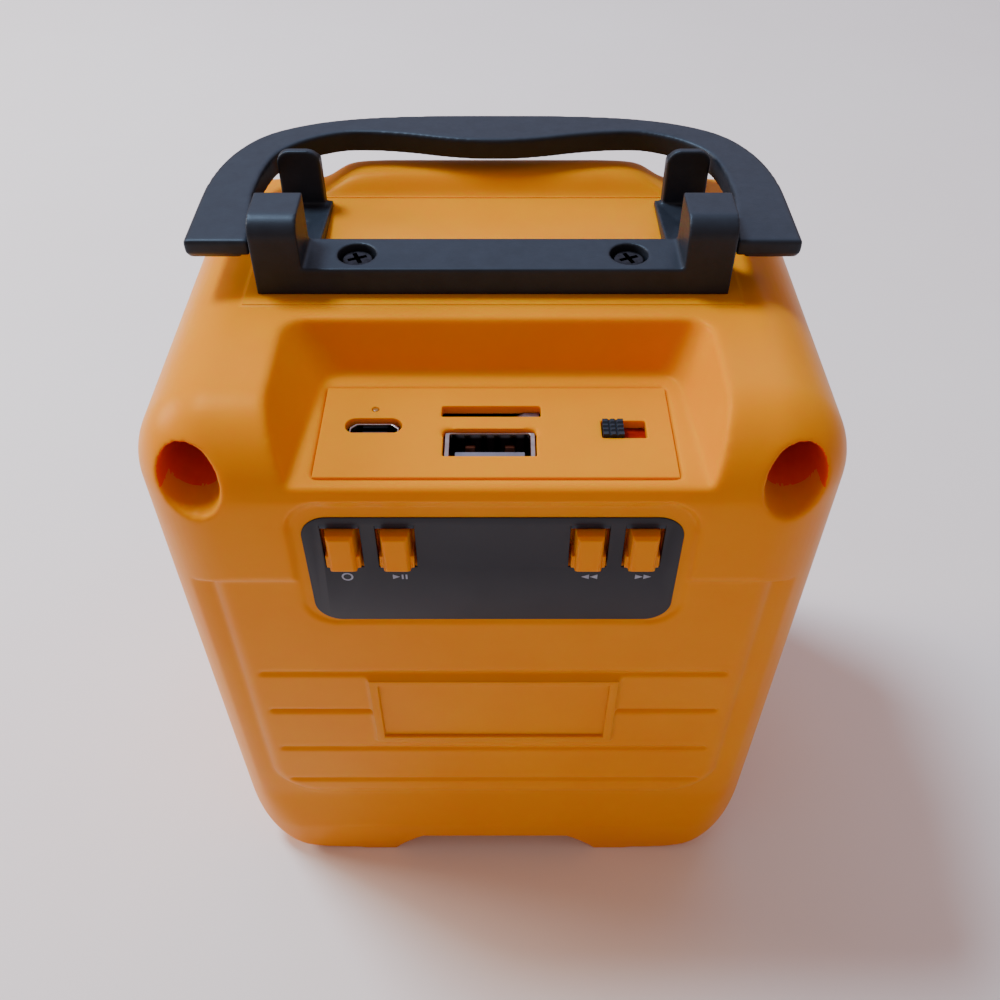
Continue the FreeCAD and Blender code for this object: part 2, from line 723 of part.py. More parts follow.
def rear_housing():
    """Rear shell: tub for the ports, pocket for the key panel, screw wells and board posts."""
    rear_half = box(-HALF_WIDTH, HALF_WIDTH, REAR_Y, SPLIT_Y, 0, BODY_HEIGHT)
    outer = outer_form().common(rear_half)
    shell = outer.cut(cavity_form())
    root_y = CAVITY_REAR_Y - REAR_WALL / 4
    pad = box(-PAD_HALF_WIDTH, PAD_HALF_WIDTH, PAD_REAR_Y, SPLIT_Y, BODY_HEIGHT - WALL / 2, PAD_Z)
    tub_half = RECESS_TOP_X[1] + RECESS_WALL
    tub_front = RECESS_BACK_Y + RECESS_BACK_SLOPE + RECESS_WALL
    tub = box(-tub_half, tub_half, REAR_Y, tub_front, FLOOR_UNDER_Z, BODY_HEIGHT).common(outer)
    well = hex_rod_y(WELL_X, WELL_Z, WELL_TUBE_RADIUS, root_y, WELL_BOTTOM_Y + WELL_FLOOR).common(outer)
    boss = hex_rod_z(
        BRACKET_SCREW_X, BRACKET_SCREW_Y, TOP_BOSS_RADIUS,
        TOP_WALL_UNDER_Z - TOP_BOSS_LENGTH, BODY_HEIGHT - WALL / 2,
    )
    board_post = hex_rod_y(BOARD_POST_X, BOARD_POST_Z, BOARD_POST_RADIUS, root_y, BOARD_REAR_Y)
    key_post = hex_rod_y(KEY_POST_X, KEY_Z, KEY_POST_RADIUS, root_y, KEY_BOARD_Y)
    stake = hex_rod_y(KEY_POST_X, KEY_Z, STAKE_RADIUS, root_y, KEY_BOARD_BACK_Y + STAKE_HEIGHT)
    pieces = [shell, hump(root_y, SPLIT_Y), pad, tub, raised_frame()]
    for piece in (well, boss, board_post, key_post.fuse(stake)):
        pieces += with_mirror(piece)
    shell = fused(pieces)

    cutters = [recess_form(), arch_cutter(), key_pocket()] + groove_cutters()
    cutters.append(plate_slab(PLATE_GAP, PLATE_UNDER_Z, RECESS_FLOOR_Z + 1))
    cutters.append(plate_slab(-PLATE_LEDGE, FLOOR_UNDER_Z - 1, RECESS_FLOOR_Z))
    cutters += [key_hole(x, REAR_Y, CAVITY_REAR_Y + 1) for x in KEY_X]
    screw_way = HOUSING_SCREW_RADIUS + SCREW_CLEARANCE
    end_z = BRACKET_SCREW_END_Z - PILOT_SPARE
    for cutter in (
        rod_y(WELL_X, WELL_Z, WELL_RADIUS, REAR_Y - 1, WELL_BOTTOM_Y),
        hex_rod_y(WELL_X, WELL_Z, screw_way, WELL_BOTTOM_Y - 1, SPLIT_Y),
        hex_rod_z(BRACKET_SCREW_X, BRACKET_SCREW_Y, BRACKET_SCREW_RADIUS, end_z, PAD_Z + 1),
        hex_rod_y(
            BOARD_POST_X, BOARD_POST_Z, BOARD_SCREW_RADIUS,
            BOARD_FRONT_Y - BOARD_SCREW_LENGTH - PILOT_SPARE, BOARD_REAR_Y + 1,
        ),
    ):
        cutters += with_mirror(cutter)
    return shell.cut(cutters)


def brow():
    """Brow over the speaker: rises behind the bracket, runs level and rolls over the front edge."""
    foot = BODY_HEIGHT - BROW_SINK
    top = BODY_HEIGHT + BROW_HEIGHT
    skirt = BODY_HEIGHT - BROW_SKIRT
    run_end = SPLIT_Y + BROW_RUN
    run_middle = SPLIT_Y + BROW_RUN / 2
    half_rise = (top - foot) / 2
    bulge = half_rise * 0.3
    r = BROW_NOSE_ROUND
    k = r * (1 - math.sqrt(0.5))

    def side(y, z):
        return V(-HALF_WIDTH, y, z)

    low = side((SPLIT_Y + run_middle) / 2, foot + half_rise - bulge * 2)
    high = side((run_middle + run_end) / 2, top - half_rise + bulge * 2)
    edges = [
        arc(side(SPLIT_Y, foot), low, side(run_middle, foot + half_rise)),
        arc(side(run_middle, foot + half_rise), high, side(run_end, top)),
        Part.makeLine(side(run_end, top), side(FRONT_Y - r, top)),
        arc(side(FRONT_Y - r, top), side(FRONT_Y - k, top - k), side(FRONT_Y, top - r)),
        Part.makeLine(side(FRONT_Y, top - r), side(FRONT_Y, skirt)),
        Part.makeLine(side(FRONT_Y, skirt), side(SPLIT_Y, skirt)),
        Part.makeLine(side(SPLIT_Y, skirt), side(SPLIT_Y, foot)),
    ]
    run = Part.Face(Part.Wire(edges)).extrude(V(BODY_WIDTH, 0, 0))

    def across(x, z):
        return V(x, SPLIT_Y, z)

    spread = BROW_HALF_WIDTH + BROW_SKIRT_SPREAD
    corners = [
        across(-spread, skirt), across(-BROW_HALF_WIDTH, foot), across(-BROW_FLAT_HALF_WIDTH, top),
        across(BROW_FLAT_HALF_WIDTH, top), across(BROW_HALF_WIDTH, foot), across(spread, skirt),
    ]
    width = Part.Face(Part.makePolygon(corners + corners[:1])).extrude(V(0, SPLIT_INSET, 0))
    shoulders = [
        e for e in width.Edges
        if same(e.BoundBox.ZMin, top) and same(e.BoundBox.XMin, e.BoundBox.XMax)
    ]
    width = width.makeFillet(BROW_SHOULDER_ROUND, shoulders)

    def plan(x, y):
        return V(x, y, skirt)

    inset = BROW_FRONT_CORNER
    corners = [
        plan(-spread, SPLIT_Y), plan(-spread, FRONT_Y - inset), plan(inset - spread, FRONT_Y),
        plan(spread - inset, FRONT_Y), plan(spread, FRONT_Y - inset), plan(spread, SPLIT_Y),
    ]
    outline = Part.Face(Part.makePolygon(corners + corners[:1])).extrude(V(0, 0, top - skirt))
    return run.common(width).common(outline)


def front_housing():
    """Front shell: speaker opening with its seat, brow, locating lip and screw bosses."""
    front_half = box(-HALF_WIDTH, HALF_WIDTH, SPLIT_Y, FRONT_Y, 0, BODY_HEIGHT)
    outer = outer_form().common(front_half)
    shell = outer.fuse(brow()).cut(cavity_form())
    mount_pad = cut_square(MOUNT_PAD_HALF_WIDTH, MOUNT_PAD_CORNER, FLANGE_Y, CAVITY_FRONT_Y + WALL / 4)
    boss = hex_rod_y(WELL_X, WELL_Z, BOSS_RADIUS, WELL_BOTTOM_Y + WELL_FLOOR, CAVITY_FRONT_Y + WALL / 4)
    pieces = [shell, hump(SPLIT_Y, CAVITY_FRONT_Y + WALL / 4).common(outer), mount_pad, locating_lip()]
    shell = fused(pieces + with_mirror(boss))
    cutters = [
        arch_cutter(),
        rod_y(0, SPEAKER_Z, RING_OUTER_RADIUS + RING_GAP, RING_SEAT_Y, FRONT_Y + 1),
        flat_rod_y(APERTURE_RADIUS, FLANGE_Y - 1, FRONT_Y + 1),
    ]
    pilot_end = WELL_BOTTOM_Y + HOUSING_SCREW_LENGTH + PILOT_SPARE
    cutters += with_mirror(hex_rod_y(WELL_X, WELL_Z, HOUSING_SCREW_RADIUS, WELL_BOTTOM_Y, pilot_end))
    return shell.cut(cutters)


def locating_lip():
    """Thin lip on the front shell that slides inside the rear shell."""
    inner = LIP_CLEARANCE + LIP_THICKNESS
    y0 = SPLIT_Y - LIP_LENGTH
    y1 = SPLIT_Y + WALL
    hollow = cavity_prism(inner, y0 - 1, y1 + 1)
    lip = cavity_prism(LIP_CLEARANCE, y0, y1).cut(hollow)
    root = cavity_prism(-WALL / 2, SPLIT_Y, y1).cut(hollow)
    half = HUMP_HALF_WIDTH + LIP_CLEARANCE
    foot_way = box(-half, half, y0 - 1, SPLIT_Y, 0, HUMP_TOP_Z + LIP_CLEARANCE)
    return lip.fuse(root).cut(foot_way)


def port_plate():
    plate = plate_slab(0, PLATE_UNDER_Z, RECESS_FLOOR_Z)
    cutters = []
    for x, y, w, d in (
        (USB_A_X, USB_A_Y, USB_A_CUT_WIDTH, USB_A_CUT_DEPTH),
        (CARD_X, CARD_Y, CARD_CUT_WIDTH, CARD_CUT_DEPTH),
        (SWITCH_X, SWITCH_Y, SWITCH_CUT_WIDTH, SWITCH_CUT_DEPTH),
    ):
        cutters.append(box(x - w / 2, x + w / 2, y - d / 2, y + d / 2, PLATE_UNDER_Z - 1, RECESS_FLOOR_Z + 1))
    half = MICRO_USB_CUT_DEPTH / 2
    round_end = half * 0.9
    wire = rounded_rectangle(
        MICRO_USB_CUT_WIDTH / 2, MICRO_USB_Y - half, MICRO_USB_Y + half, round_end, round_end,
        lambda u, v: V(MICRO_USB_X + u, v, PLATE_UNDER_Z - 1),
    )
    cutters.append(Part.Face(wire).extrude(V(0, 0, PLATE_THICKNESS + 2)))
    cutters.append(rod_z(LED_X, LED_Y, LED_RADIUS, PLATE_UNDER_Z - 1, RECESS_FLOOR_Z + 1))
    return plate.cut(cutters)


def usb_a_block(inset, z0, z1):
    half_width = USB_A_SHELL_WIDTH / 2 - inset
    half_depth = USB_A_SHELL_DEPTH / 2 - inset
    return box(
        USB_A_X - half_width, USB_A_X + half_width, USB_A_Y - half_depth, USB_A_Y + half_depth, z0, z1
    )


def usb_a_socket():
    """Folded steel shell of the large socket, open at the top."""
    bottom = SOCKET_TOP_Z - USB_A_LENGTH
    outer = usb_a_block(0, bottom, SOCKET_TOP_Z)
    return outer.cut(usb_a_block(USB_A_SHEET, bottom + USB_A_SHEET, SOCKET_TOP_Z + 1))


def usb_a_tongue():
    bottom = SOCKET_TOP_Z - USB_A_LENGTH + USB_A_SHEET
    inset = USB_A_SHEET + USB_A_INSULATOR_GAP
    base = usb_a_block(inset, bottom, bottom + USB_A_BASE_HEIGHT)
    rear = USB_A_Y - USB_A_SHELL_DEPTH / 2 + inset
    half = USB_A_TONGUE_WIDTH / 2
    tongue = box(
        USB_A_X - half, USB_A_X + half, rear, rear + USB_A_TONGUE_THICKNESS,
        bottom, SOCKET_TOP_Z - USB_A_TONGUE_SINK,
    )
    return base.fuse(tongue).removeSplitter()


def micro_usb_block(shrink, z0, z1):
    half_width = MICRO_USB_SHELL_WIDTH / 2 - shrink
    half_depth = MICRO_USB_SHELL_DEPTH / 2 - shrink
    bevel = MICRO_USB_BEVEL
    points = (
        (-half_width, -half_depth),
        (half_width, -half_depth),
        (half_width, half_depth - bevel),
        (half_width - bevel, half_depth),
        (-half_width + bevel, half_depth),
        (-half_width, half_depth - bevel),
    )
    corners = [V(MICRO_USB_X + u, MICRO_USB_Y + v, z0) for u, v in points]
    return Part.Face(Part.makePolygon(corners + corners[:1])).extrude(V(0, 0, z1 - z0))


def micro_usb_socket():
    bottom = SOCKET_TOP_Z - MICRO_USB_LENGTH
    outer = micro_usb_block(0, bottom, SOCKET_TOP_Z)
    return outer.cut(micro_usb_block(MICRO_USB_SHEET, bottom + MICRO_USB_SHEET, SOCKET_TOP_Z + 1))


def micro_usb_tongue():
    half = MICRO_USB_TONGUE_WIDTH / 2
    bottom = SOCKET_TOP_Z - MICRO_USB_LENGTH + MICRO_USB_SHEET
    return box(
        MICRO_USB_X - half, MICRO_USB_X + half, MICRO_USB_Y, MICRO_USB_Y + MICRO_USB_TONGUE_THICKNESS,
        bottom, SOCKET_TOP_Z - MICRO_USB_TONGUE_SINK,
    )


def card_socket():
    """Steel card socket on the inner face of the board, with its card way under the slot."""
    half = CARD_SHELL_WIDTH / 2
    way_half = CARD_WAY_WIDTH / 2
    way_depth = CARD_WAY_DEPTH / 2
    top = PLATE_UNDER_Z - PORT_UNDER_GAP
    bottom = top - CARD_LENGTH
    outer = box(CARD_X - half, CARD_X + half, BOARD_FRONT_Y, CARD_Y + way_depth + CARD_ROOF, bottom, top)
    way = box(
        CARD_X - way_half, CARD_X + way_half, CARD_Y - way_depth, CARD_Y + way_depth,
        bottom + CARD_STOP, top + 1,
    )
    return outer.cut(way)


def switch_body():
    half_width = SWITCH_BODY_WIDTH / 2
    half_depth = SWITCH_BODY_DEPTH / 2
    top = PLATE_UNDER_Z - PORT_UNDER_GAP
    case = box(
        SWITCH_X - half_width, SWITCH_X + half_width, SWITCH_Y - half_depth, SWITCH_Y + half_depth,
        top - SWITCH_BODY_HEIGHT, top,
    )
    half_way = (SWITCH_CUT_WIDTH - KNOB_WIDTH + KNOB_STEM) / 2 + KNOB_CLEARANCE
    half_slot = SWITCH_WAY_DEPTH / 2
    way_bottom = top - KNOB_STEM_LENGTH - KNOB_CLEARANCE
    way = box(
        SWITCH_X - half_way, SWITCH_X + half_way, SWITCH_Y - half_slot, SWITCH_Y + half_slot,
        way_bottom, top + 1,
    )
    return case.cut(way)


def rib_groove(length, axis):
    """Square bar on its corner, to cut a V of the rib depth."""
    side = KNOB_RIB_DEPTH * math.sqrt(2)
    if axis == Y_AXIS:
        bar = box(-side / 2, side / 2, 0, length, -side / 2, side / 2)
    else:
        bar = box(0, length, -side / 2, side / 2, -side / 2, side / 2)
    bar.rotate(V(0, 0, 0), axis, 45)
    return bar


def switch_knob():
    """Black slide knob with a ribbed face, at the left end of its window."""
    left = SWITCH_X - SWITCH_CUT_WIDTH / 2 + KNOB_CLEARANCE
    depth = SWITCH_CUT_DEPTH - 2 * KNOB_CLEARANCE
    rear = SWITCH_Y - depth / 2
    top = RECESS_FLOOR_Z + KNOB_PROUD
    cap = box(left, left + KNOB_WIDTH, rear, rear + depth, PLATE_UNDER_Z + KNOB_CLEARANCE, top)
    centre = left + KNOB_WIDTH / 2
    half_stem = KNOB_STEM / 2
    half_slot = SWITCH_WAY_DEPTH / 2 - KNOB_CLEARANCE
    stem_bottom = PLATE_UNDER_Z - PORT_UNDER_GAP - KNOB_STEM_LENGTH
    stem = box(
        centre - half_stem, centre + half_stem, SWITCH_Y - half_slot, SWITCH_Y + half_slot,
        stem_bottom, PLATE_UNDER_Z + 2 * KNOB_CLEARANCE,
    )
    ribs = []
    for index in range(1, KNOB_RIBS_ACROSS):
        bar = rib_groove(depth + 1, Y_AXIS)
        bar.translate(V(left + KNOB_WIDTH * index / KNOB_RIBS_ACROSS, rear - 0.5, top))
        ribs.append(bar)
    for index in range(1, KNOB_RIBS_ALONG):
        bar = rib_groove(KNOB_WIDTH + 1, X_AXIS)
        bar.translate(V(left - 0.5, rear + depth * index / KNOB_RIBS_ALONG, top))
        ribs.append(bar)
    return cap.fuse(stem).cut(ribs).removeSplitter()


def charge_led():
    """Clear indicator body on the board, rising behind the small socket to its pinhole."""
    half = LED_BODY / 2
    behind_socket = MICRO_USB_Y + MICRO_USB_SHELL_DEPTH / 2 + SOCKET_GAP
    foot_top = SOCKET_TOP_Z - MICRO_USB_LENGTH - 2 * SOCKET_GAP
    bottom = foot_top - LED_FOOT_HEIGHT
    body_top = PLATE_UNDER_Z - PORT_UNDER_GAP
    foot = box(LED_X - half, LED_X + half, BOARD_FRONT_Y, LED_Y + half, bottom, foot_top)
    stem = box(LED_X - half, LED_X + half, behind_socket, LED_Y + half, bottom, body_top)
    tip = hex_rod_z(LED_X, LED_Y, LED_RADIUS - LED_CLEARANCE, body_top - 1, RECESS_FLOOR_Z - LED_CLEARANCE)
    return fused([foot, stem, tip])


def main_board():
    """Upright board behind the sockets, cut out around the small socket and the switch."""
    board = box(-BOARD_HALF_WIDTH, BOARD_HALF_WIDTH, BOARD_REAR_Y, BOARD_FRONT_Y, BOARD_BOTTOM_Z, BOARD_TOP_Z)
    half = MICRO_USB_SHELL_WIDTH / 2 + SOCKET_GAP
    low = SOCKET_TOP_Z - MICRO_USB_LENGTH - SOCKET_GAP
    y0 = BOARD_REAR_Y - 1
    y1 = BOARD_FRONT_Y + 1
    cutters = [box(MICRO_USB_X - half, MICRO_USB_X + half, y0, y1, low, BOARD_TOP_Z + 1)]
    half = SWITCH_BODY_WIDTH / 2
    low = PLATE_UNDER_Z - PORT_UNDER_GAP - SWITCH_BODY_HEIGHT
    cutters.append(box(SWITCH_X - half, SWITCH_X + half, y0, y1, low, BOARD_TOP_Z + 1))
    way = BOARD_SCREW_RADIUS + SCREW_CLEARANCE
    cutters += with_mirror(hex_rod_y(BOARD_POST_X, BOARD_POST_Z, way, y0, y1))
    return board.cut(cutters)


def plain_screw(radius, head_radius, head_height, length):
    """Screw along +Y from the origin, where its head is seated; head and shank are six-sided."""
    return hex_rod_y(0, 0, head_radius, -head_height, 0).fuse(hex_rod_y(0, 0, radius, 0, length))


def placed(shape, x, y, z):
    copy = shape.copy()
    copy.translate(V(x, y, z))
    return copy


def housing_screws():
    screw = plain_screw(
        HOUSING_SCREW_RADIUS, HOUSING_SCREW_HEAD_RADIUS, HOUSING_SCREW_HEAD_HEIGHT, HOUSING_SCREW_LENGTH
    )
    return group(with_mirror(placed(screw, WELL_X, WELL_BOTTOM_Y, WELL_Z)))


def board_screws():
    screw = plain_screw(
        BOARD_SCREW_RADIUS, BOARD_SCREW_HEAD_RADIUS, BOARD_SCREW_HEAD_HEIGHT, BOARD_SCREW_LENGTH
    )
    screw = screw.mirror(V(0, 0, 0), Y_AXIS)
    return group(with_mirror(placed(screw, BOARD_POST_X, BOARD_FRONT_Y, BOARD_POST_Z)))


def key_board():
    """Narrow board behind the keys, staked on two posts; it carries the four press switches."""
    half = PANEL_HALF_WIDTH - KEY_BOARD_SIDE_GAP
    low = KEY_Z - KEY_BOARD_HEIGHT / 2
    board = box(-half, half, KEY_BOARD_Y, KEY_BOARD_BACK_Y, low, low + KEY_BOARD_HEIGHT)
    hole = hex_rod_y(KEY_POST_X, KEY_Z, STAKE_RADIUS + STAKE_CLEARANCE, KEY_BOARD_Y - 1, KEY_BOARD_BACK_Y + 1)
    return board.cut(with_mirror(hole))


def press_switches():
    """Four low press switches; each has a well for the stem of its key."""
    switches = []
    half = TACT_SIZE / 2
    for x in KEY_X:
        case = box(x - half, x + half, TACT_FACE_Y, KEY_BOARD_Y, KEY_Z - half, KEY_Z + half)
        reach = TACT_STEM_RADIUS + TACT_CLEARANCE
        well = hex_rod_y(x, KEY_Z, reach, TACT_FACE_Y - 1, KEY_BOARD_Y - TACT_STEM_SINK)
        switches.append(case.cut(well))
    return group(switches)


def key(x):
    """Orange key: proud cap with bevelled edges, retaining flange and switch stem."""
    half_width = KEY_WIDTH / 2
    half_height = KEY_HEIGHT / 2
    cap = box(
        x - half_width, x + half_width, KEY_FACE_Y, KEY_FLANGE_Y, KEY_Z - half_height, KEY_Z + half_height
    )
    cap = cap.makeChamfer(KEY_BEVEL, edges_at_y(cap, KEY_FACE_Y))
    o = KEY_FLANGE_REACH
    flange_back = KEY_FLANGE_Y + KEY_FLANGE
    flange = box(
        x - half_width - o, x + half_width + o, KEY_FLANGE_Y, flange_back,
        KEY_Z - half_height - o, KEY_Z + half_height + o,
    )
    stem = hex_rod_y(x, KEY_Z, TACT_STEM_RADIUS, flange_back, TACT_FACE_Y + TACT_STEM_SINK)
    return fused([cap, flange, stem])


def key_panel():
    panel = rear_prism(PANEL_HALF_WIDTH, PANEL_BOTTOM_Z, PANEL_TOP_Z, PANEL_ROUND, PANEL_Y, POCKET_FLOOR_Y)
    return panel.cut([key_hole(x, PANEL_Y - 1, POCKET_FLOOR_Y + 1) for x in KEY_X])


def front_post():
    """Pivot post at one end of the bar, rounded over at its rear top edge."""
    post = box(POST_INNER_X, BRACKET_HALF_WIDTH, BRACKET_REAR_Y, BRACKET_FRONT_Y, PAD_Z, POST_TOP_Z)
    edges = [e for e in edges_at_y(post, BRACKET_REAR_Y) if same(e.BoundBox.ZMin, POST_TOP_Z)]
    return post.makeFillet(POST_ROUND, edges)


def rear_post():
    """Thin upright at the end of the side rail, with round top corners."""
    outer_x = BRACKET_HALF_WIDTH - REAR_POST_SETBACK
    post = box(POST_INNER_X, outer_x, REAR_POST_Y, REAR_POST_Y + REAR_POST_THICKNESS, PAD_Z, REAR_POST_TOP_Z)
    edges = [
        e for e in post.Edges
        if same(e.BoundBox.ZMin, REAR_POST_TOP_Z) and not same(e.BoundBox.YMin, e.BoundBox.YMax)
    ]
    return post.makeFillet(REAR_POST_ROUND, edges)


def side_rail():
    """Low rail from the bar to the upright, widening into a foot for it."""
    inner = POST_INNER_X - RAIL_INNER_STEP
    foot_y = REAR_POST_Y + REAR_POST_THICKNESS / 2
    outer = BRACKET_HALF_WIDTH - REAR_POST_SETBACK
    points = [
        V(inner, BRACKET_FRONT_Y, PAD_Z),
        V(inner + RAIL_WIDTH, BRACKET_FRONT_Y, PAD_Z),
        V(inner + RAIL_WIDTH, REAR_POST_Y - GUSSET_LENGTH, PAD_Z),
        V(outer, REAR_POST_Y, PAD_Z),
        V(outer, foot_y, PAD_Z),
        V(inner, foot_y, PAD_Z),
    ]
    return Part.Face(Part.makePolygon(points + points[:1])).extrude(V(0, 0, RAIL_HEIGHT))


def handle_bracket():
    """Bar with two pivot posts, and a side rail to a thin upright on each side."""
    bar = box(-POST_INNER_X, POST_INNER_X, BRACKET_REAR_Y, BRACKET_FRONT_Y, PAD_Z, BAR_TOP_Z)
    pieces = [bar]
    for piece in (front_post(), side_rail(), rear_post()):
        pieces += with_mirror(piece)
    bracket = fused(pieces)
    way = BRACKET_SCREW_RADIUS + SCREW_CLEARANCE
    bore = PIVOT_RADIUS + PIVOT_CLEARANCE
    bore_x = BRACKET_HALF_WIDTH - PIVOT_REACH - PIVOT_END_GAP
    cutters = []
    for cutter in (
        rod_z(BRACKET_SCREW_X, BRACKET_SCREW_Y, BRACKET_BORE_RADIUS, BRACKET_SCREW_SEAT_Z, BAR_TOP_Z + 1),
        hex_rod_z(BRACKET_SCREW_X, BRACKET_SCREW_Y, way, PAD_Z - 1, BAR_TOP_Z),
        rod_x(PIVOT_Y, PIVOT_Z, bore, bore_x, BRACKET_HALF_WIDTH + 1),
    ):
        cutters += with_mirror(cutter)
    return bracket.cut(cutters)


def bracket_screws():
    screw = plain_screw(
        BRACKET_SCREW_RADIUS, BRACKET_SCREW_HEAD_RADIUS, BRACKET_SCREW_HEAD_HEIGHT, BRACKET_SCREW_LENGTH
    )
    screw.rotate(V(0, 0, 0), X_AXIS, -90)
    return group(with_mirror(placed(screw, BRACKET_SCREW_X, BRACKET_SCREW_Y, BRACKET_SCREW_SEAT_Z)))


def tangent_arc(start, heading, end):
    """Arc from start to end that leaves along heading, or a line where the three are in line."""
    along = end - start
    along.normalize()
    turn = math.acos(max(-1.0, min(1.0, heading.dot(along))))
    if turn < 1e-4:
        return Part.makeLine(start, end)
    aside = heading - along * heading.dot(along)
    aside.normalize()
    length = start.distanceToPoint(end)
    middle = (start + end) * 0.5 + aside * (length / 2 * math.tan(turn / 2))
    return arc(start, middle, end)


def double_arc(start, start_heading, end, end_heading):
    """Two tangent arcs between two points with a heading at each."""
    v = end - start
    t = start_heading + end_heading
    bend = 2 * (1 - start_heading.dot(end_heading))
    reach = v.dot(t)
    if bend < 1e-9:
        d = v.dot(v) / (4 * v.dot(end_heading))
    else:
        d = (-reach + math.sqrt(reach * reach + bend * v.dot(v))) / bend
    joint = (start + end + (start_heading - end_heading) * d) * 0.5
    back = tangent_arc(end, end_heading * -1, joint)
    return [tangent_arc(start, start_heading, joint), back]


def handle_edge(stations, z):
    """Smooth edge of the handle from the right arm over the middle to the left arm."""
    edges = []
    for (x0, y0, a0), (x1, y1, a1) in zip(stations, stations[1:]):
        h0 = V(math.cos(math.radians(a0)), math.sin(math.radians(a0)), 0)
        h1 = V(math.cos(math.radians(a1)), math.sin(math.radians(a1)), 0)
        edges += double_arc(V(x0, y0, z), h0, V(x1, y1, z), h1)
    return edges + [mirrored(e) for e in edges]


def carry_handle():
    """Flat U-shaped handle, lying folded, with a swelling in its grip and a pin on each arm."""
    z = HANDLE_UNDER_Z
    edges = handle_edge(HANDLE_OUTER_EDGE, z) + handle_edge(HANDLE_INNER_EDGE, z)
    outer_start = V(HANDLE_OUTER_X, HANDLE_OUTER_EDGE[0][1], z)
    inner_start = V(HANDLE_INNER_X, HANDLE_INNER_EDGE[0][1], z)
    outer_end = V(HANDLE_OUTER_X, HANDLE_END_Y, z)
    inner_end = V(HANDLE_INNER_X, HANDLE_END_Y, z)
    for start, end in ((outer_start, outer_end), (outer_end, inner_end), (inner_end, inner_start)):
        edges += with_mirror(Part.makeLine(start, end))
    wire = Part.Wire(Part.__sortEdges__(edges))
    plate = Part.Face(wire).extrude(V(0, 0, HANDLE_THICKNESS))
    lower_ends = [e for e in edges_at_y(plate, HANDLE_END_Y) if same(e.BoundBox.ZMax, HANDLE_UNDER_Z)]
    plate = plate.makeChamfer(HANDLE_END_BEVEL, lower_ends)
    pin = rod_x(PIVOT_Y, PIVOT_Z, PIVOT_RADIUS, BRACKET_HALF_WIDTH - PIVOT_REACH, HANDLE_INNER_X + 1)
    return fused([plate] + with_mirror(pin))


def speaker_grille():
    """Round steel grille with a field of six-sided holes."""
    y0 = RING_SEAT_Y
    y1 = y0 + GRILLE_THICKNESS
    disc = rod_y(0, SPEAKER_Z, RING_OUTER_RADIUS, y0, y1)
    row_height = GRILLE_PITCH * math.sqrt(3) / 2
    field = RING_INNER_RADIUS - GRILLE_HOLE / 2 - GRILLE_MARGIN
    rows = int(field / row_height) + 1
    columns = int(field / GRILLE_PITCH) + 1
    corner = GRILLE_HOLE / math.sqrt(3)
    holes = []
    for row in range(-rows, rows + 1):
        shift = GRILLE_PITCH / 2 if row % 2 else 0
        for column in range(-columns, columns + 1):
            x = column * GRILLE_PITCH + shift
            z = row * row_height
            if math.hypot(x, z) <= field:
                holes.append(hex_rod_y(x, SPEAKER_Z + z, corner, y0 - 1, y1 + 1))
    return disc.cut(group(holes))


def grille_ring():
    """Black trim ring that clamps the grille in its seat."""
    y0 = RING_SEAT_Y + GRILLE_THICKNESS
    y1 = FRONT_Y + RING_PROUD
    return turned([
        (RING_INNER_RADIUS, y0),
        (RING_OUTER_RADIUS, y0),
        (RING_OUTER_RADIUS, y1),
        (RING_INNER_RADIUS, y1),
    ])


def cut_square(half, corner, y0, y1):
    """Square slab about the speaker axis with its corners cut off."""
    c = half - corner
    points = ((c, -half), (half, -c), (half, c), (c, half), (-c, half), (-half, c), (-half, -c), (-c, -half))
    corners = [V(x, y0, SPEAKER_Z + z) for x, z in points]
    return Part.Face(Part.makePolygon(corners + corners[:1])).extrude(V(0, y1 - y0, 0))


def basket_taper(inset):
    """Four-sided taper of the basket from its flange to its rear face, with cut corners."""
    wide = SURROUND_OUTER_RADIUS - inset
    narrow = BASKET_REAR_HALF_WIDTH - inset
    y0 = BASKET_REAR_Y + inset
    rows = ((-wide, BASKET_FRONT_Y), (wide, BASKET_FRONT_Y), (narrow, y0), (-narrow, y0))
    across = [V(a, y, SPEAKER_Z - wide) for a, y in rows]
    upright = [V(-wide, y, SPEAKER_Z + a) for a, y in rows]
    one = Part.Face(Part.makePolygon(across + across[:1])).extrude(V(0, 0, 2 * wide))
    two = Part.Face(Part.makePolygon(upright + upright[:1])).extrude(V(2 * wide, 0, 0))
    return one.common(two).common(cut_square(wide, BASKET_CORNER, y0, BASKET_FRONT_Y))


def driver_basket():
    """Pressed steel basket: flange with cut corners, many-sided opening, square tapering body."""
    flange = cut_square(FLANGE_HALF_WIDTH, FLANGE_CORNER, BASKET_FRONT_Y, FLANGE_Y)
    opening = flat_rod_y(SURROUND_OUTER_RADIUS - SURROUND_SEAT, BASKET_FRONT_Y - 1, FLANGE_Y + 1)
    return flange.cut(opening).fuse(basket_taper(0).cut(basket_taper(BASKET_WALL)))


def driver_magnet():
    return flat_rod_y(MAGNET_RADIUS, BASKET_REAR_Y - MAGNET_LENGTH, BASKET_REAR_Y)


def speaker_cone():
    """Flat stiff cone with its dust cap; its rim is held by the surround."""
    disc = flat_rod_y(CONE_RADIUS, FLANGE_Y - CONE_THICKNESS, FLANGE_Y)
    cap = flat_rod_y(CAP_RADIUS, FLANGE_Y, FLANGE_Y + CAP_RISE)
    return disc.fuse(cap)


def speaker_surround():
    """Rubber roll between cone and basket, seated on the rim of each, as a ring of short flats."""
    outer = flat_rod_y(SURROUND_OUTER_RADIUS, FLANGE_Y, FLANGE_Y + SURROUND_HEIGHT)
    return outer.cut(flat_rod_y(SURROUND_INNER_RADIUS, FLANGE_Y, FLANGE_Y + SURROUND_HEIGHT))


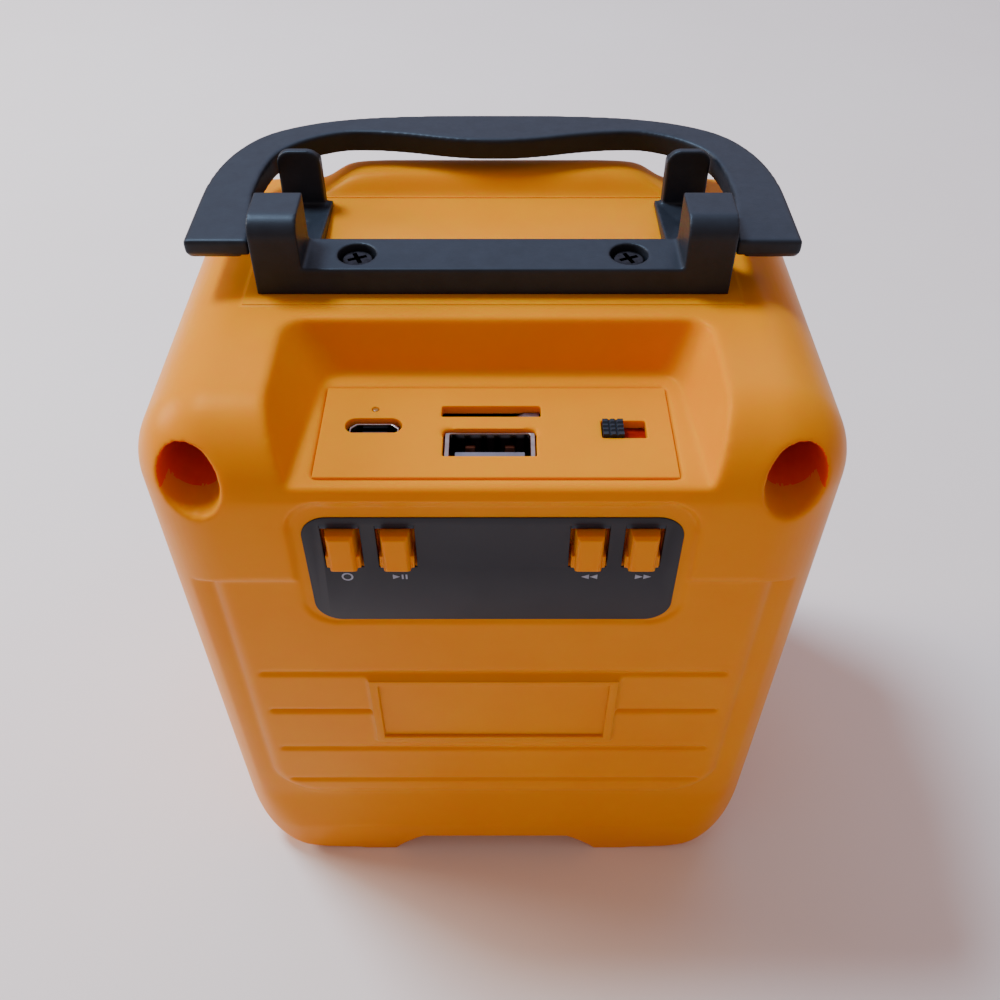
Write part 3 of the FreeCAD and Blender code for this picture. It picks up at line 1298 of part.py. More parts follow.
def battery_cell():
    half = CELL_LENGTH / 2
    can = rod_x(CELL_Y, CELL_Z, CELL_RADIUS, -half, half - CELL_NUB_HEIGHT)
    side = CELL_NUB_RADIUS * math.sqrt(0.5)
    nub = box(
        half - CELL_NUB_HEIGHT, half, CELL_Y - side, CELL_Y + side, CELL_Z - side, CELL_Z + side
    )
    return can.fuse(nub)


def battery_cradle():
    """Open cradle on the base: two cheeks, two ends and a floor around the lower half of the cell."""
    inner = CELL_RADIUS + CRADLE_CLEARANCE
    half = CELL_LENGTH / 2 + CRADLE_CLEARANCE
    w = CRADLE_WALL
    block = box(
        -half - w, half + w, CELL_Y - inner - w, CELL_Y + inner + w, HUMP_TOP_Z, CELL_Z + CRADLE_RISE
    )
    bay = rod_x(CELL_Y, CELL_Z, inner, -half, half)
    mouth = box(-half, half, CELL_Y - inner, CELL_Y + inner, CELL_Z, CELL_Z + 2 * CELL_RADIUS)
    return block.cut([bay, mouth])


def on_board(x, z, width, height, near, far):
    """Block on the inner face of the main board, between two distances from it."""
    return box(x, x + width, BOARD_FRONT_Y + near, BOARD_FRONT_Y + far, z, z + height)


def radio_module():
    x, z = RADIO_PLACE
    m = RADIO_CAN_MARGIN
    board = on_board(x, z, RADIO_WIDTH, RADIO_HEIGHT, 0, RADIO_THICKNESS)
    top = RADIO_THICKNESS + RADIO_CAN_THICKNESS
    can = on_board(x + m, z + m, RADIO_CAN_WIDTH, RADIO_HEIGHT - 2 * m, RADIO_THICKNESS, top)
    return board.fuse(can).removeSplitter()


def amplifier_chip():
    return on_board(*CHIP_PLACE, CHIP_WIDTH, CHIP_HEIGHT, 0, CHIP_THICKNESS)


def capacitor():
    y1 = BOARD_FRONT_Y + CAPACITOR_LENGTH
    return hex_rod_y(CAPACITOR_X, CAPACITOR_Z, CAPACITOR_RADIUS, BOARD_FRONT_Y, y1)


def lead_sockets():
    """White two-way sockets for the battery and speaker leads, open downwards."""
    sockets = []
    w = LEAD_SOCKET_WALL
    h = LEAD_SOCKET_HEIGHT
    for x in LEAD_SOCKET_X:
        case = on_board(x, LEAD_SOCKET_Z, LEAD_SOCKET_WIDTH, h, 0, h)
        way = on_board(x + w, LEAD_SOCKET_Z - w, LEAD_SOCKET_WIDTH - 2 * w, h, w, h - w)
        sockets.append(case.cut(way))
    return group(sockets)


def build():
    parts = {
        "rear_housing": rear_housing(),
        "front_housing": front_housing(),
        "grille_ring": grille_ring(),
        "speaker_grille": speaker_grille(),
        "handle_bracket": handle_bracket(),
        "bracket_screws": bracket_screws(),
        "carry_handle": carry_handle(),
        "key_panel": key_panel(),
        "key_board": key_board(),
        "press_switches": press_switches(),
        "port_plate": port_plate(),
        "usb_a_socket": usb_a_socket(),
        "usb_a_tongue": usb_a_tongue(),
        "micro_usb_socket": micro_usb_socket(),
        "micro_usb_tongue": micro_usb_tongue(),
        "card_socket": card_socket(),
        "switch_body": switch_body(),
        "switch_knob": switch_knob(),
        "charge_led": charge_led(),
        "main_board": main_board(),
        "board_screws": board_screws(),
        "radio_module": radio_module(),
        "amplifier_chip": amplifier_chip(),
        "capacitor": capacitor(),
        "lead_sockets": lead_sockets(),
        "housing_screws": housing_screws(),
        "battery_cell": battery_cell(),
        "battery_cradle": battery_cradle(),
        "driver_basket": driver_basket(),
        "driver_magnet": driver_magnet(),
        "speaker_cone": speaker_cone(),
        "speaker_surround": speaker_surround(),
    }
    for name, x in zip(KEY_NAMES, KEY_X):
        parts[name + "_key"] = key(x)
    return parts


os.makedirs("parts", exist_ok=True)
for node, shape in build().items():
    shape.exportStep("parts/" + node + ".step")
    valid = "valid" if shape.isValid() else "NOT VALID"
    print(node, valid, len(shape.Solids), "solid(s)", round(shape.Volume, 1), "mm3")
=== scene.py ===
import math

import bpy
import numpy as np
from mathutils import Matrix, Vector


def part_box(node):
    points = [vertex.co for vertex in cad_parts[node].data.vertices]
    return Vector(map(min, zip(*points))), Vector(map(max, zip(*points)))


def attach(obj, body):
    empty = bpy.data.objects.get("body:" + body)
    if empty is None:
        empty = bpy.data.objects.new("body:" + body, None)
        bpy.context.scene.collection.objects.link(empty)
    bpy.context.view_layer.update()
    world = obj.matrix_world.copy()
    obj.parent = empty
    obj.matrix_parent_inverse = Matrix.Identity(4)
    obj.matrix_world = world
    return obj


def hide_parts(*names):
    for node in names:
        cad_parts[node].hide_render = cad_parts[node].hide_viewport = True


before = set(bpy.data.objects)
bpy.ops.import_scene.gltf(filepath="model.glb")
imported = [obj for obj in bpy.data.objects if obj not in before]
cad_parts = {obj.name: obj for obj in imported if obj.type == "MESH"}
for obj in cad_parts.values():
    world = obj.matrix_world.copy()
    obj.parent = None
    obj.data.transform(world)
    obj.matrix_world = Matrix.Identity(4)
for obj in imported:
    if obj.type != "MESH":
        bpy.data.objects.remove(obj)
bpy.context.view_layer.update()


# Camera: a phone held about 15 cm from the ports, looking down on the control side.
# Its lens spans 53 degrees across the square picture.
CAMERA_PLACE = (0.0011, -0.1376, 0.2095)
CAMERA_PITCH = 44.4
lens = bpy.data.cameras.new("view_camera")
lens.lens = 36.0
lens.sensor_width = 36.0
lens.clip_start = 0.005
lens.clip_end = 20.0
view_camera = bpy.data.objects.new("view_camera", lens)
view_camera.location = CAMERA_PLACE
view_camera.rotation_euler = (math.radians(CAMERA_PITCH), 0.0, 0.0)
bpy.context.scene.collection.objects.link(view_camera)
bpy.context.scene.camera = view_camera


# Rear and front shells: two halves injection-moulded in orange ABS, met at a parting line
# behind the handle. Edges are polished soft, the faces keep a fine spark-eroded grain.
def linear(hex_colour):
    """Turns an sRGB hex colour into the linear values of a shader socket."""
    parts = [int(hex_colour[i:i + 2], 16) / 255 for i in (1, 3, 5)]
    return [c / 12.92 if c <= 0.04045 else ((c + 0.055) / 1.055) ** 2.4 for c in parts] + [1.0]


def add_node(tree, kind, links=None, values=None, **settings):
    """Adds one shader node with its settings, its socket values and its links."""
    node = tree.nodes.new(kind)
    for name, value in settings.items():
        setattr(node, name, value)
    for socket, value in (values or {}).items():
        node.inputs[socket].default_value = value
    for socket, source in (links or {}).items():
        tree.links.new(source, node.inputs[socket])
    return node


def start_finish(name, colour, roughness, **sockets):
    """A new finish: its material, its node tree, its shader and the object coordinates."""
    finish = bpy.data.materials.new(name)
    finish.use_nodes = True
    tree = finish.node_tree
    shader = tree.nodes["Principled BSDF"]
    shader.inputs["Base Color"].default_value = linear(colour)
    shader.inputs["Roughness"].default_value = roughness
    for socket, value in sockets.items():
        shader.inputs[socket.replace("_", " ")].default_value = value
    place = add_node(tree, "ShaderNodeTexCoord").outputs["Object"]
    return finish, tree, shader, place


def per_mm(size):
    """Texture scale that gives a pattern of that size in millimetres."""
    return 1000.0 / size


def mottled_finish(name, dark, light, mottle, roughness, grain, height, **sockets):
    """A finish that drifts between two colours and has a raised grain; sizes in millimetres."""
    finish, tree, shader, place = start_finish(name, light, roughness, **sockets)
    clouds = add_node(
        tree, "ShaderNodeTexNoise", {"Vector": place},
        {"Scale": per_mm(mottle), "Detail": 5.0, "Roughness": 0.6},
    )
    tint = add_node(tree, "ShaderNodeValToRGB", {"Fac": clouds.outputs["Fac"]})
    tint.color_ramp.elements[0].position = 0.32
    tint.color_ramp.elements[0].color = linear(dark)
    tint.color_ramp.elements[1].position = 0.68
    tint.color_ramp.elements[1].color = linear(light)
    tree.links.new(tint.outputs["Color"], shader.inputs["Base Color"])
    rub = add_node(
        tree, "ShaderNodeTexNoise", {"Vector": place}, {"Scale": per_mm(mottle / 3), "Detail": 6.0}
    )
    gloss = add_node(
        tree, "ShaderNodeMapRange", {"Value": rub.outputs["Fac"]},
        {"From Min": 0.3, "From Max": 0.7, "To Min": roughness * 0.94, "To Max": roughness * 1.06},
    )
    tree.links.new(gloss.outputs["Result"], shader.inputs["Roughness"])
    cells = add_node(tree, "ShaderNodeTexNoise", {"Vector": place}, {"Scale": per_mm(grain), "Detail": 2.0})
    relief = add_node(
        tree, "ShaderNodeBump", {"Height": cells.outputs["Fac"]}, {"Strength": 1.0, "Distance": height / 1000}
    )
    tree.links.new(relief.outputs["Normal"], shader.inputs["Normal"])
    return finish


# ABS from an eroded mould: satin and slightly mottled, and a little light goes in and comes
# out redder, so its shaded hollows glow; the grain is drawn at 0.3 mm so that it shows.
ORANGE_ABS = mottled_finish(
    "moulded_orange_abs", "#e88c05", "#ec9507", 26, 0.38, 0.3, 0.010, IOR=1.53, Specular_IOR_Level=0.18,
    Specular_Tint=(1.0, 0.36, 0.0, 1.0),
    Subsurface_Weight=0.35, Subsurface_Radius=(1.0, 0.12, 0.02), Subsurface_Scale=0.0025,
)


def pick(piece):
    """Makes this piece alone the selected and active one."""
    bpy.ops.object.select_all(action="DESELECT")
    piece.select_set(True)
    bpy.context.view_layer.objects.active = piece


def apply_modifier(piece, name, kind, **settings):
    """Adds one modifier with its settings and applies it."""
    pick(piece)
    modifier = piece.modifiers.new(name, kind)
    for setting, value in settings.items():
        setattr(modifier, setting, value)
    bpy.ops.object.modifier_apply(modifier=modifier.name)


def merged_copy(node, name):
    """A copy of a CAD solid as a new piece, its loose triangles joined."""
    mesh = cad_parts[node].data.copy()
    mesh.materials.clear()
    piece = bpy.data.objects.new(name, mesh)
    bpy.context.scene.collection.objects.link(piece)
    pick(piece)
    bpy.ops.object.mode_set(mode="EDIT")
    bpy.ops.mesh.select_all(action="SELECT")
    bpy.ops.mesh.remove_doubles(threshold=0.000002)
    bpy.ops.mesh.customdata_custom_splitnormals_clear()
    bpy.ops.object.mode_set(mode="OBJECT")
    return piece


def graded_group(piece, weights):
    """A vertex group that holds one weight for each vertex, in steps of a sixteenth."""
    group = piece.vertex_groups.new(name="grade")
    steps = np.round(weights * 16).astype(int)
    for step in range(1, 17):
        members = np.nonzero(steps == step)[0].tolist()
        if members:
            group.add(members, step / 16, "REPLACE")


def inside(piece, low, high, fade):
    """How far each vertex is inside a box: 0 outside, 1 deeper in than its margin."""
    places = np.empty(len(piece.data.vertices) * 3)
    piece.data.vertices.foreach_get("co", places)
    places = places.reshape(-1, 3)
    depth = np.minimum(places - np.array(low), np.array(high) - places).min(axis=1)
    return np.clip(depth / fade, 0.0, 1.0)


def blended_edges(piece, low, high, fade, passes):
    """Smooths the edges inside a box, as a larger blend radius, fading out over its margin."""
    graded_group(piece, inside(piece, low, high, fade))
    apply_modifier(piece, "blend", "SMOOTH", factor=0.5, iterations=passes, vertex_group="grade")
    piece.vertex_groups.clear()


def softened(piece, grid, passes, triangles, blends=(), crisp=()):
    """Puts a piece on an even grid, in millimetres, and eases its edges as a mould leaves them."""
    apply_modifier(piece, "grid", "REMESH", mode="VOXEL", voxel_size=grid / 1000)
    for low, high, fade, more in blends:
        blended_edges(piece, low, high, fade, more)
    weights = np.ones(len(piece.data.vertices))
    for low, high, fade, share in crisp:
        weights = np.minimum(weights, 1 - share * inside(piece, low, high, fade))
    graded_group(piece, weights)
    apply_modifier(piece, "ease", "SMOOTH", factor=0.5, iterations=passes, vertex_group="grade")
    piece.vertex_groups.clear()
    count = sum(len(face.vertices) - 2 for face in piece.data.polygons)
    if count > triangles:
        apply_modifier(piece, "thin", "DECIMATE", decimate_type="COLLAPSE", ratio=triangles / count)
    pick(piece)
    bpy.ops.object.shade_smooth()


def moulded_copy(node, name, grid, passes, triangles, blends=()):
    """A softened copy of a CAD solid that is shown in its place."""
    piece = merged_copy(node, name)
    softened(piece, grid, passes, triangles, blends)
    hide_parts(node)
    return piece


def dress(piece, finish, body):
    """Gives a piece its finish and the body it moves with."""
    piece.data.materials.append(finish)
    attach(piece, body)


def block(name, low, high):
    """A block between two corners, to be shaped further or to cut with."""
    bpy.ops.object.select_all(action="DESELECT")
    bpy.ops.mesh.primitive_cube_add(size=1, location=[(a + b) / 2 for a, b in zip(low, high)])
    piece = bpy.context.object
    piece.name = name
    piece.scale = [b - a for a, b in zip(low, high)]
    bpy.ops.object.transform_apply(location=True, rotation=True, scale=True)
    return piece


def eased(piece, width, segments=3):
    """Rounds the sharp edges of a piece; width in millimetres."""
    apply_modifier(
        piece, "edges", "BEVEL", width=width / 1000, segments=segments, limit_method="ANGLE",
        angle_limit=0.5, use_clamp_overlap=True,
    )
    pick(piece)
    bpy.ops.object.shade_smooth_by_angle(angle=0.7)


def cut(piece, cutter):
    """Takes the cutter's shape out of a piece, and removes the cutter."""
    apply_modifier(piece, "cut", "BOOLEAN", operation="DIFFERENCE", solver="EXACT", object=cutter)
    bpy.data.objects.remove(cutter)


def on_both_sides(low, high, fade, passes):
    """The same blend on the left, whose corners these are, and on the right."""
    mirrored = ((-high[0], low[1], low[2]), (-low[0], high[1], high[2]), fade, passes)
    return [(low, high, fade, passes), mirrored]


rear_shell = merged_copy("rear_housing", "rear_shell")

# the two screw wells widen towards their mouths, which cut up into the rounded shoulders
WELL_X = 0.0434
WELL_Z = 0.110
WELL_DEPTH = 0.017
WELL_MIDDLE_Y = -0.0325
WELL_FLOOR_RADIUS = 0.0037
WELL_MOUTH_RADIUS = 0.0055
MOUTH_INWARD = 0.0004
MOUTH_UPWARD = 0.0005
for side in (-1, 1):
    bpy.ops.object.select_all(action="DESELECT")
    bpy.ops.mesh.primitive_cone_add(
        vertices=64, radius1=WELL_FLOOR_RADIUS, radius2=WELL_MOUTH_RADIUS, depth=WELL_DEPTH,
        rotation=(math.pi / 2, 0, 0), location=(side * WELL_X, WELL_MIDDLE_Y, WELL_Z),
    )
    mouth = bpy.context.object
    bpy.ops.object.transform_apply(location=True, rotation=True, scale=True)
    for vertex in mouth.data.vertices:
        if vertex.co.y < WELL_MIDDLE_Y:
            vertex.co.x = side * (WELL_X - MOUTH_INWARD) + (vertex.co.x - side * WELL_X) * 0.88
            vertex.co.z = WELL_Z + MOUTH_UPWARD + (vertex.co.z - WELL_Z) * 1.13
    cut(rear_shell, mouth)

# the key panel's pocket: its upper edge is raised, and its floor lies level with the panel's face
POCKET_RAISE = 0.0008
RAISED_FROM_Z = 0.1016
RAISED_SPAN = 0.006
SOLID_FLOOR_Y = -0.0372
POCKET_FLOOR_Y = -0.03806
for vertex in rear_shell.data.vertices:
    x, y, z = vertex.co
    if y < -0.0386 and RAISED_FROM_Z < z < 0.1077 and abs(x) < 0.0306:
        vertex.co.z += POCKET_RAISE * (z - RAISED_FROM_Z) / RAISED_SPAN
    if abs(y - SOLID_FLOOR_Y) < 0.00002 and 0.0800 < z < 0.1067 and abs(x) < 0.0296:
        vertex.co.y = POCKET_FLOOR_Y

# wider blends in the recess, at the lower corners and round the mouths of the wells; the ribs of
# the rear face stay crisp
RECESS_BLEND = ((-0.0365, -0.0405, 0.1088), (0.0375, -0.0078, 0.1212), 0.0015, 18)
CORNER_BLENDS = on_both_sides((-0.056, -0.041, -0.002), (-0.028, -0.018, 0.026), 0.004, 70)
MOUTH_BLENDS = on_both_sides((-0.0500, -0.0400, 0.1025), (-0.0365, -0.0285, 0.1180), 0.0012, 14)
RIBBED_FIELD = ((-0.042, -0.0395, 0.020), (0.042, -0.0365, 0.1085), 0.002, 0.7)
softened(rear_shell, 0.36, 4, 190000, [RECESS_BLEND] + CORNER_BLENDS + MOUTH_BLENDS, [RIBBED_FIELD])
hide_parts("rear_housing")
dress(rear_shell, ORANGE_ABS, "housing")

# painted shade: the same ABS in a matt, far redder orange, for the shaded walls deep in the wells
WELL_SHADE_ABS = mottled_finish(
    "orange_abs_painted_well_shade", "#e83c00", "#f04a00", 6, 0.5, 0.3, 0.010, IOR=1.53, Specular_IOR_Level=0.1,
    Subsurface_Weight=0.35, Subsurface_Radius=(1.0, 0.12, 0.02), Subsurface_Scale=0.0025,
)
MOUTH_Y = WELL_MIDDLE_Y - WELL_DEPTH / 2
MOUTH_HALF_WIDTH = 0.00484
MOUTH_HALF_HEIGHT = 0.0062
# the painted shade goes on the faces deep in each well and on its upper walls; the lit lower wall by the
# mouth keeps the plain orange
rear_shell.data.materials.append(WELL_SHADE_ABS)
for face in rear_shell.data.polygons:
    x, y, z = face.center
    depth = (y - MOUTH_Y) / WELL_DEPTH
    if 0.2 < depth < 4.0 and 0.036 < abs(x) < 0.051 and z > 0.1:
        depth = min(depth, 1.0)
        half_width = MOUTH_HALF_WIDTH + (WELL_FLOOR_RADIUS - MOUTH_HALF_WIDTH) * depth
        half_height = MOUTH_HALF_HEIGHT + (WELL_FLOOR_RADIUS - MOUTH_HALF_HEIGHT) * depth
        across = (abs(x) - WELL_X + MOUTH_INWARD * (1 - depth)) / half_width
        upward = (z - WELL_Z - MOUTH_UPWARD * (1 - depth)) / half_height
        if math.hypot(across, upward) < 1.05 and (upward > -0.35 or depth > 0.5):
            face.material_index = 1

# the raised frame of the blank label field, with its crisp rim
FRAME_RIM = 0.0016
FRAME_HALF_WIDTH = 0.0218
FRAME_BOTTOM = 0.0442
FRAME_TOP = 0.0639
label_frame = block(
    "label_frame", (-FRAME_HALF_WIDTH, -0.03905, FRAME_BOTTOM), (FRAME_HALF_WIDTH, -0.0380, FRAME_TOP)
)
window = block(
    "window", (FRAME_RIM - FRAME_HALF_WIDTH, -0.0400, FRAME_BOTTOM + FRAME_RIM),
    (FRAME_HALF_WIDTH - FRAME_RIM, -0.0370, FRAME_TOP - FRAME_RIM),
)
cut(label_frame, window)
eased(label_frame, 0.3, 4)
dress(label_frame, ORANGE_ABS, "housing")

# the front shell has its widest blends in the brow over the speaker
BROW_BLEND = ((-0.060, 0.0270, 0.108), (0.060, 0.045, 0.130), 0.003, 30)
SHOULDER_BLENDS = on_both_sides((-0.060, 0.0262, 0.112), (-0.019, 0.045, 0.130), 0.006, 130)
FOOT_BLEND = ((-0.060, 0.0300, -0.005), (0.060, 0.045, 0.011), 0.003, 30)
SIDE_BLENDS = on_both_sides((-0.060, 0.0300, -0.005), (-0.0468, 0.045, 0.125), 0.0015, 30)
front_shell = moulded_copy(
    "front_housing", "front_shell", 0.45, 5, 150000,
    [BROW_BLEND] + SHOULDER_BLENDS + [FOOT_BLEND] + SIDE_BLENDS,
)
dress(front_shell, ORANGE_ABS, "housing")


# Plateau under the bracket: the rear shell rises there by a thin step, moulded in one with it.
# Its edge is too fine for the shell's grid, so it is modelled as a slab with crisp edges.
# A hair's breadth of gap at its far edge is the parting line between the two shells.
PAD_TOP = 0.11979
for name, near, far in (("plateau_step", -0.0072, 0.0256), ("plateau_lip", 0.02588, 0.0262)):
    pad = block(name, (-0.039, near, 0.1185), (0.039, far, PAD_TOP))
    eased(pad, 0.05)
    dress(pad, ORANGE_ABS, "housing")


# Port plate: an orange insert dropped in the recess floor, its openings cut with eased rims.
# Its joint with the shell shows as a fine groove, so its edge is brought nearer to the shell.
PLATE_REACH = 0.00022
plate_low, plate_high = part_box("port_plate")
port_insert = merged_copy("port_plate", "port_insert")
MICRO_X = -0.0178
MICRO_Y = -0.0251
MICRO_SHIFT = 0.00035
for vertex in port_insert.data.vertices:
    if abs(vertex.co.x - plate_low.x) < 0.00001:
        vertex.co.x -= PLATE_REACH
    elif abs(vertex.co.x - plate_high.x) < 0.00001:
        vertex.co.x += PLATE_REACH
    if abs(vertex.co.y - plate_high.y) < 0.00001:
        vertex.co.y += PLATE_REACH
    elif abs(vertex.co.y - plate_low.y) < 0.00001:
        vertex.co.y -= PLATE_REACH + 0.0001
    elif abs(vertex.co.x - MICRO_X) < 0.0045 and -0.0272 < vertex.co.y < MICRO_Y:
        vertex.co.y += MICRO_SHIFT
# the far corners of the large opening are rounder than the solid's
LEFT_CORNER_BLEND = ((-0.0090, -0.0275, 0.1080), (-0.0055, -0.0241, 0.1110), 0.0004, 120)
RIGHT_CORNER_BLEND = ((0.0047, -0.0275, 0.1080), (0.0082, -0.0241, 0.1110), 0.0004, 120)
softened(port_insert, 0.15, 4, 90000, [LEFT_CORNER_BLEND, RIGHT_CORNER_BLEND])
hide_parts("port_plate")
dress(port_insert, ORANGE_ABS, "housing")


# USB-A socket: a shell folded from nickel-plated sheet with two spring tabs in its far wall,
# and a pale insulator tongue along the near side that carries four gold contacts.

# nickel plate on rolled sheet: bright, with a slightly blurred reflection
BRIGHT_NICKEL = mottled_finish(
    "nickel_plated_sheet", "#b9aca6", "#d6cbc4", 2.0, 0.2, 0.25, 0.002, Metallic=1.0
)
# the same sheet on the sockets, with painted shade inside: dark brown below its bright rim
NICKEL_WITH_PAINTED_SHADE = mottled_finish(
    "nickel_sheet_painted_inner_shade", "#96857d", "#b3a39b", 2.0, 0.2, 0.25, 0.002, Metallic=1.0
)
tree = NICKEL_WITH_PAINTED_SHADE.node_tree
shader = tree.nodes["Principled BSDF"]
place = add_node(tree, "ShaderNodeTexCoord").outputs["Object"]
height = add_node(tree, "ShaderNodeSeparateXYZ", {"Vector": place}).outputs["Z"]
# painted shade: from 109.3 mm down to 108.8 mm the nickel fades to dark brown
rim = add_node(
    tree, "ShaderNodeMapRange", {"Value": height}, {"From Min": 0.1088, "From Max": 0.1093}
).outputs["Result"]
bright = shader.inputs["Base Color"].links[0].from_socket
painted_inner_shade = add_node(
    tree, "ShaderNodeMixRGB", {"Fac": rim, "Color2": bright}, {"Color1": linear("#34211f")}
)
tree.links.new(painted_inner_shade.outputs["Color"], shader.inputs["Base Color"])

usb_shell = merged_copy("usb_a_socket", "usb_a_shell")
# its side walls are drawn thicker at the rim, both outwards and inwards
USB_X = -0.0004
RIM_Z = 0.1090
RIM_OUTWARDS = 0.00018
RIM_INWARDS = -0.00025
for vertex in usb_shell.data.vertices:
    if vertex.co.z > RIM_Z:
        offset = vertex.co.x - USB_X
        spread = RIM_OUTWARDS if abs(offset) > 0.0064 else RIM_INWARDS
        vertex.co.x += math.copysign(1, offset) * spread
softened(usb_shell, 0.1, 14, 36000)
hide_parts("usb_a_socket")
dress(usb_shell, NICKEL_WITH_PAINTED_SHADE, "housing")


def crisp_copy(node, name, width):
    """A CAD solid of flat faces, its triangles cleared and its edges lightly rounded."""
    piece = merged_copy(node, name)
    apply_modifier(piece, "flat", "DECIMATE", decimate_type="DISSOLVE", angle_limit=0.01)
    eased(piece, width, 2)
    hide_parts(node)
    return piece


# nylon of the insulator: pale grey, dull, almost without grain
GREY_NYLON = mottled_finish("pale_grey_nylon", "#68656f", "#76737e", 3.0, 0.4, 0.3, 0.004, IOR=1.53)
usb_tongue = crisp_copy("usb_a_tongue", "usb_a_insulator", 0.15)
dress(usb_tongue, GREY_NYLON, "housing")

# gold flash over nickel: warm, smooth
CONTACT_GOLD = mottled_finish(
    "gold_flashed_contact", "#c99a3c", "#dcb052", 1.5, 0.24, 0.3, 0.001, Metallic=1.0
)
TONGUE_DEPTH = 0.0021
TONGUE_FACE_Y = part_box("usb_a_tongue")[0].y + TONGUE_DEPTH
for index, offset in enumerate((-0.0035, -0.001, 0.001, 0.0035)):
    contact = block(
        "usb_contact_%d" % (index + 1),
        (USB_X + offset - 0.0005, TONGUE_FACE_Y - 0.0001, 0.1000),
        (USB_X + offset + 0.0005, TONGUE_FACE_Y + 0.00012, 0.1078),
    )
    eased(contact, 0.08)
    dress(contact, CONTACT_GOLD, "housing")

# nickelled spring bronze, browned by plugs
SPRING_BRONZE = mottled_finish("worn_spring_bronze", "#6b4238", "#8a5a4a", 1.0, 0.4, 0.3, 0.002, Metallic=0.8)
SHELL_WALL = 0.00035
FAR_WALL_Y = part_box("usb_a_socket")[1].y - SHELL_WALL
for label, x in (("left", USB_X - 0.0030), ("right", USB_X + 0.0030)):
    tab = block(
        "usb_spring_" + label, (x - 0.0008, FAR_WALL_Y - 0.0006, 0.1048),
        (x + 0.0008, FAR_WALL_Y + 0.0001, 0.1076),
    )
    eased(tab, 0.28, 4)
    dress(tab, SPRING_BRONZE, "housing")


# Charging socket: a small D-shaped nickel shell, its cut corners away from the user, with a
# black tongue; the indicator shines through a pinhole behind it.
micro_shell = merged_copy("micro_usb_socket", "micro_usb_shell")
for vertex in micro_shell.data.vertices:
    if vertex.co.y < MICRO_Y:
        vertex.co.y += MICRO_SHIFT
softened(micro_shell, 0.07, 5, 30000)
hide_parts("micro_usb_socket")
dress(micro_shell, NICKEL_WITH_PAINTED_SHADE, "housing")

# glass-filled nylon from an eroded mould: blue-black, dull, with a wide soft sheen; its grain is
# drawn at 0.28 mm so that it shows
BLACK_NYLON = mottled_finish(
    "satin_black_nylon", "#20242c", "#252a33", 3, 0.46, 0.28, 0.014, IOR=1.53,
    Specular_IOR_Level=0.3, Specular_Tint=(0.65, 0.82, 1.0, 1.0),
)
micro_tongue = crisp_copy("micro_usb_tongue", "micro_usb_insulator", 0.08)
dress(micro_tongue, BLACK_NYLON, "housing")

# cast clear epoxy: glossy, with the orange around it showing through
CLEAR_RESIN = mottled_finish(
    "clear_epoxy", "#a36a1c", "#c08430", 2.0, 0.25, 0.5, 0.001, IOR=1.54, Transmission_Weight=0.3
)
indicator = crisp_copy("charge_led", "indicator", 0.06)
dress(indicator, CLEAR_RESIN, "housing")


# Card socket: a nickel-plated sheet case on the board, under its slot in the port plate. The
# folded end of its push spring stands up in the right end of the slot.
card_case = crisp_copy("card_socket", "card_case", 0.1)
dress(card_case, BRIGHT_NICKEL, "housing")

# the spring's left end is cut on a slant
card_spring = block("card_spring", (0.0036, -0.0226, 0.1083), (0.0071, -0.0206, 0.10925))
for vertex in card_spring.data.vertices:
    if vertex.co.x < 0.004:
        vertex.co.x -= 0.0008 if vertex.co.z < 0.109 else -0.0012
eased(card_spring, 0.15, 3)
# hardened spring steel: dull grey, with the fine marks of its grinding
DULL_STEEL = mottled_finish("dull_spring_steel", "#5d5357", "#857a7e", 0.5, 0.4, 0.2, 0.01, Metallic=1.0)
dress(card_spring, DULL_STEEL, "housing")


# Power switch: a steel-cased slide switch soldered to the board. Its ribbed black knob runs in a
# window of the port plate, over a floor with a narrow slot that is drawn deep red as painted shade.
switch_case = crisp_copy("switch_body", "switch_case", 0.12)
dress(switch_case, BRIGHT_NICKEL, "housing")
SWITCH_X = 0.0196
SWITCH_Y = -0.0258
UNDER_PLATE = 0.1088
FLOOR_HALF_WIDTH = 0.0040
FLOOR_HALF_DEPTH = 0.0021
SLOT_HALF_WIDTH = 0.0026
switch_floor = block(
    "switch_floor", (SWITCH_X - FLOOR_HALF_WIDTH, SWITCH_Y - FLOOR_HALF_DEPTH, 0.10852),
    (SWITCH_X + FLOOR_HALF_WIDTH, SWITCH_Y + FLOOR_HALF_DEPTH, 0.10872),
)
slot = block(
    "slot", (SWITCH_X - SLOT_HALF_WIDTH, SWITCH_Y - 0.0019, 0.108),
    (SWITCH_X + SLOT_HALF_WIDTH, SWITCH_Y - 0.0011, 0.1095),
)
cut(switch_floor, slot)
eased(switch_floor, 0.03)
# painted shade: the orange plastic deep under the window, drawn as a satin deep red with faint rub marks
SWITCH_FLOOR_SHADE = mottled_finish(
    "switch_floor_painted_shade", "#8e1301", "#a81c02", 1.5, 0.5, 0.3, 0.008, Specular_IOR_Level=0.1
)
dress(switch_floor, SWITCH_FLOOR_SHADE, "housing")

knob = merged_copy("switch_knob", "power_slide_knob")
NECK_Y = SWITCH_Y - 0.0015
NECK_SHARE = 0.35
for vertex in knob.data.vertices:
    if vertex.co.z < UNDER_PLATE:
        vertex.co.y = NECK_Y + (vertex.co.y - SWITCH_Y) * NECK_SHARE
pick(knob)
bpy.ops.object.shade_smooth_by_angle(angle=0.5)
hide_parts("switch_knob")
dress(knob, BLACK_NYLON, "power_knob")


# Handle bracket: one moulding in black satin nylon, bar, posts, rails and uprights together.
# Its rails lie low on the plateau, and its uprights are thin tabs that lean on nothing.
def join_to(piece, extras):
    """Joins more meshes to a piece, which keeps its name."""
    pick(piece)
    for extra in extras:
        extra.select_set(True)
    bpy.ops.object.join()


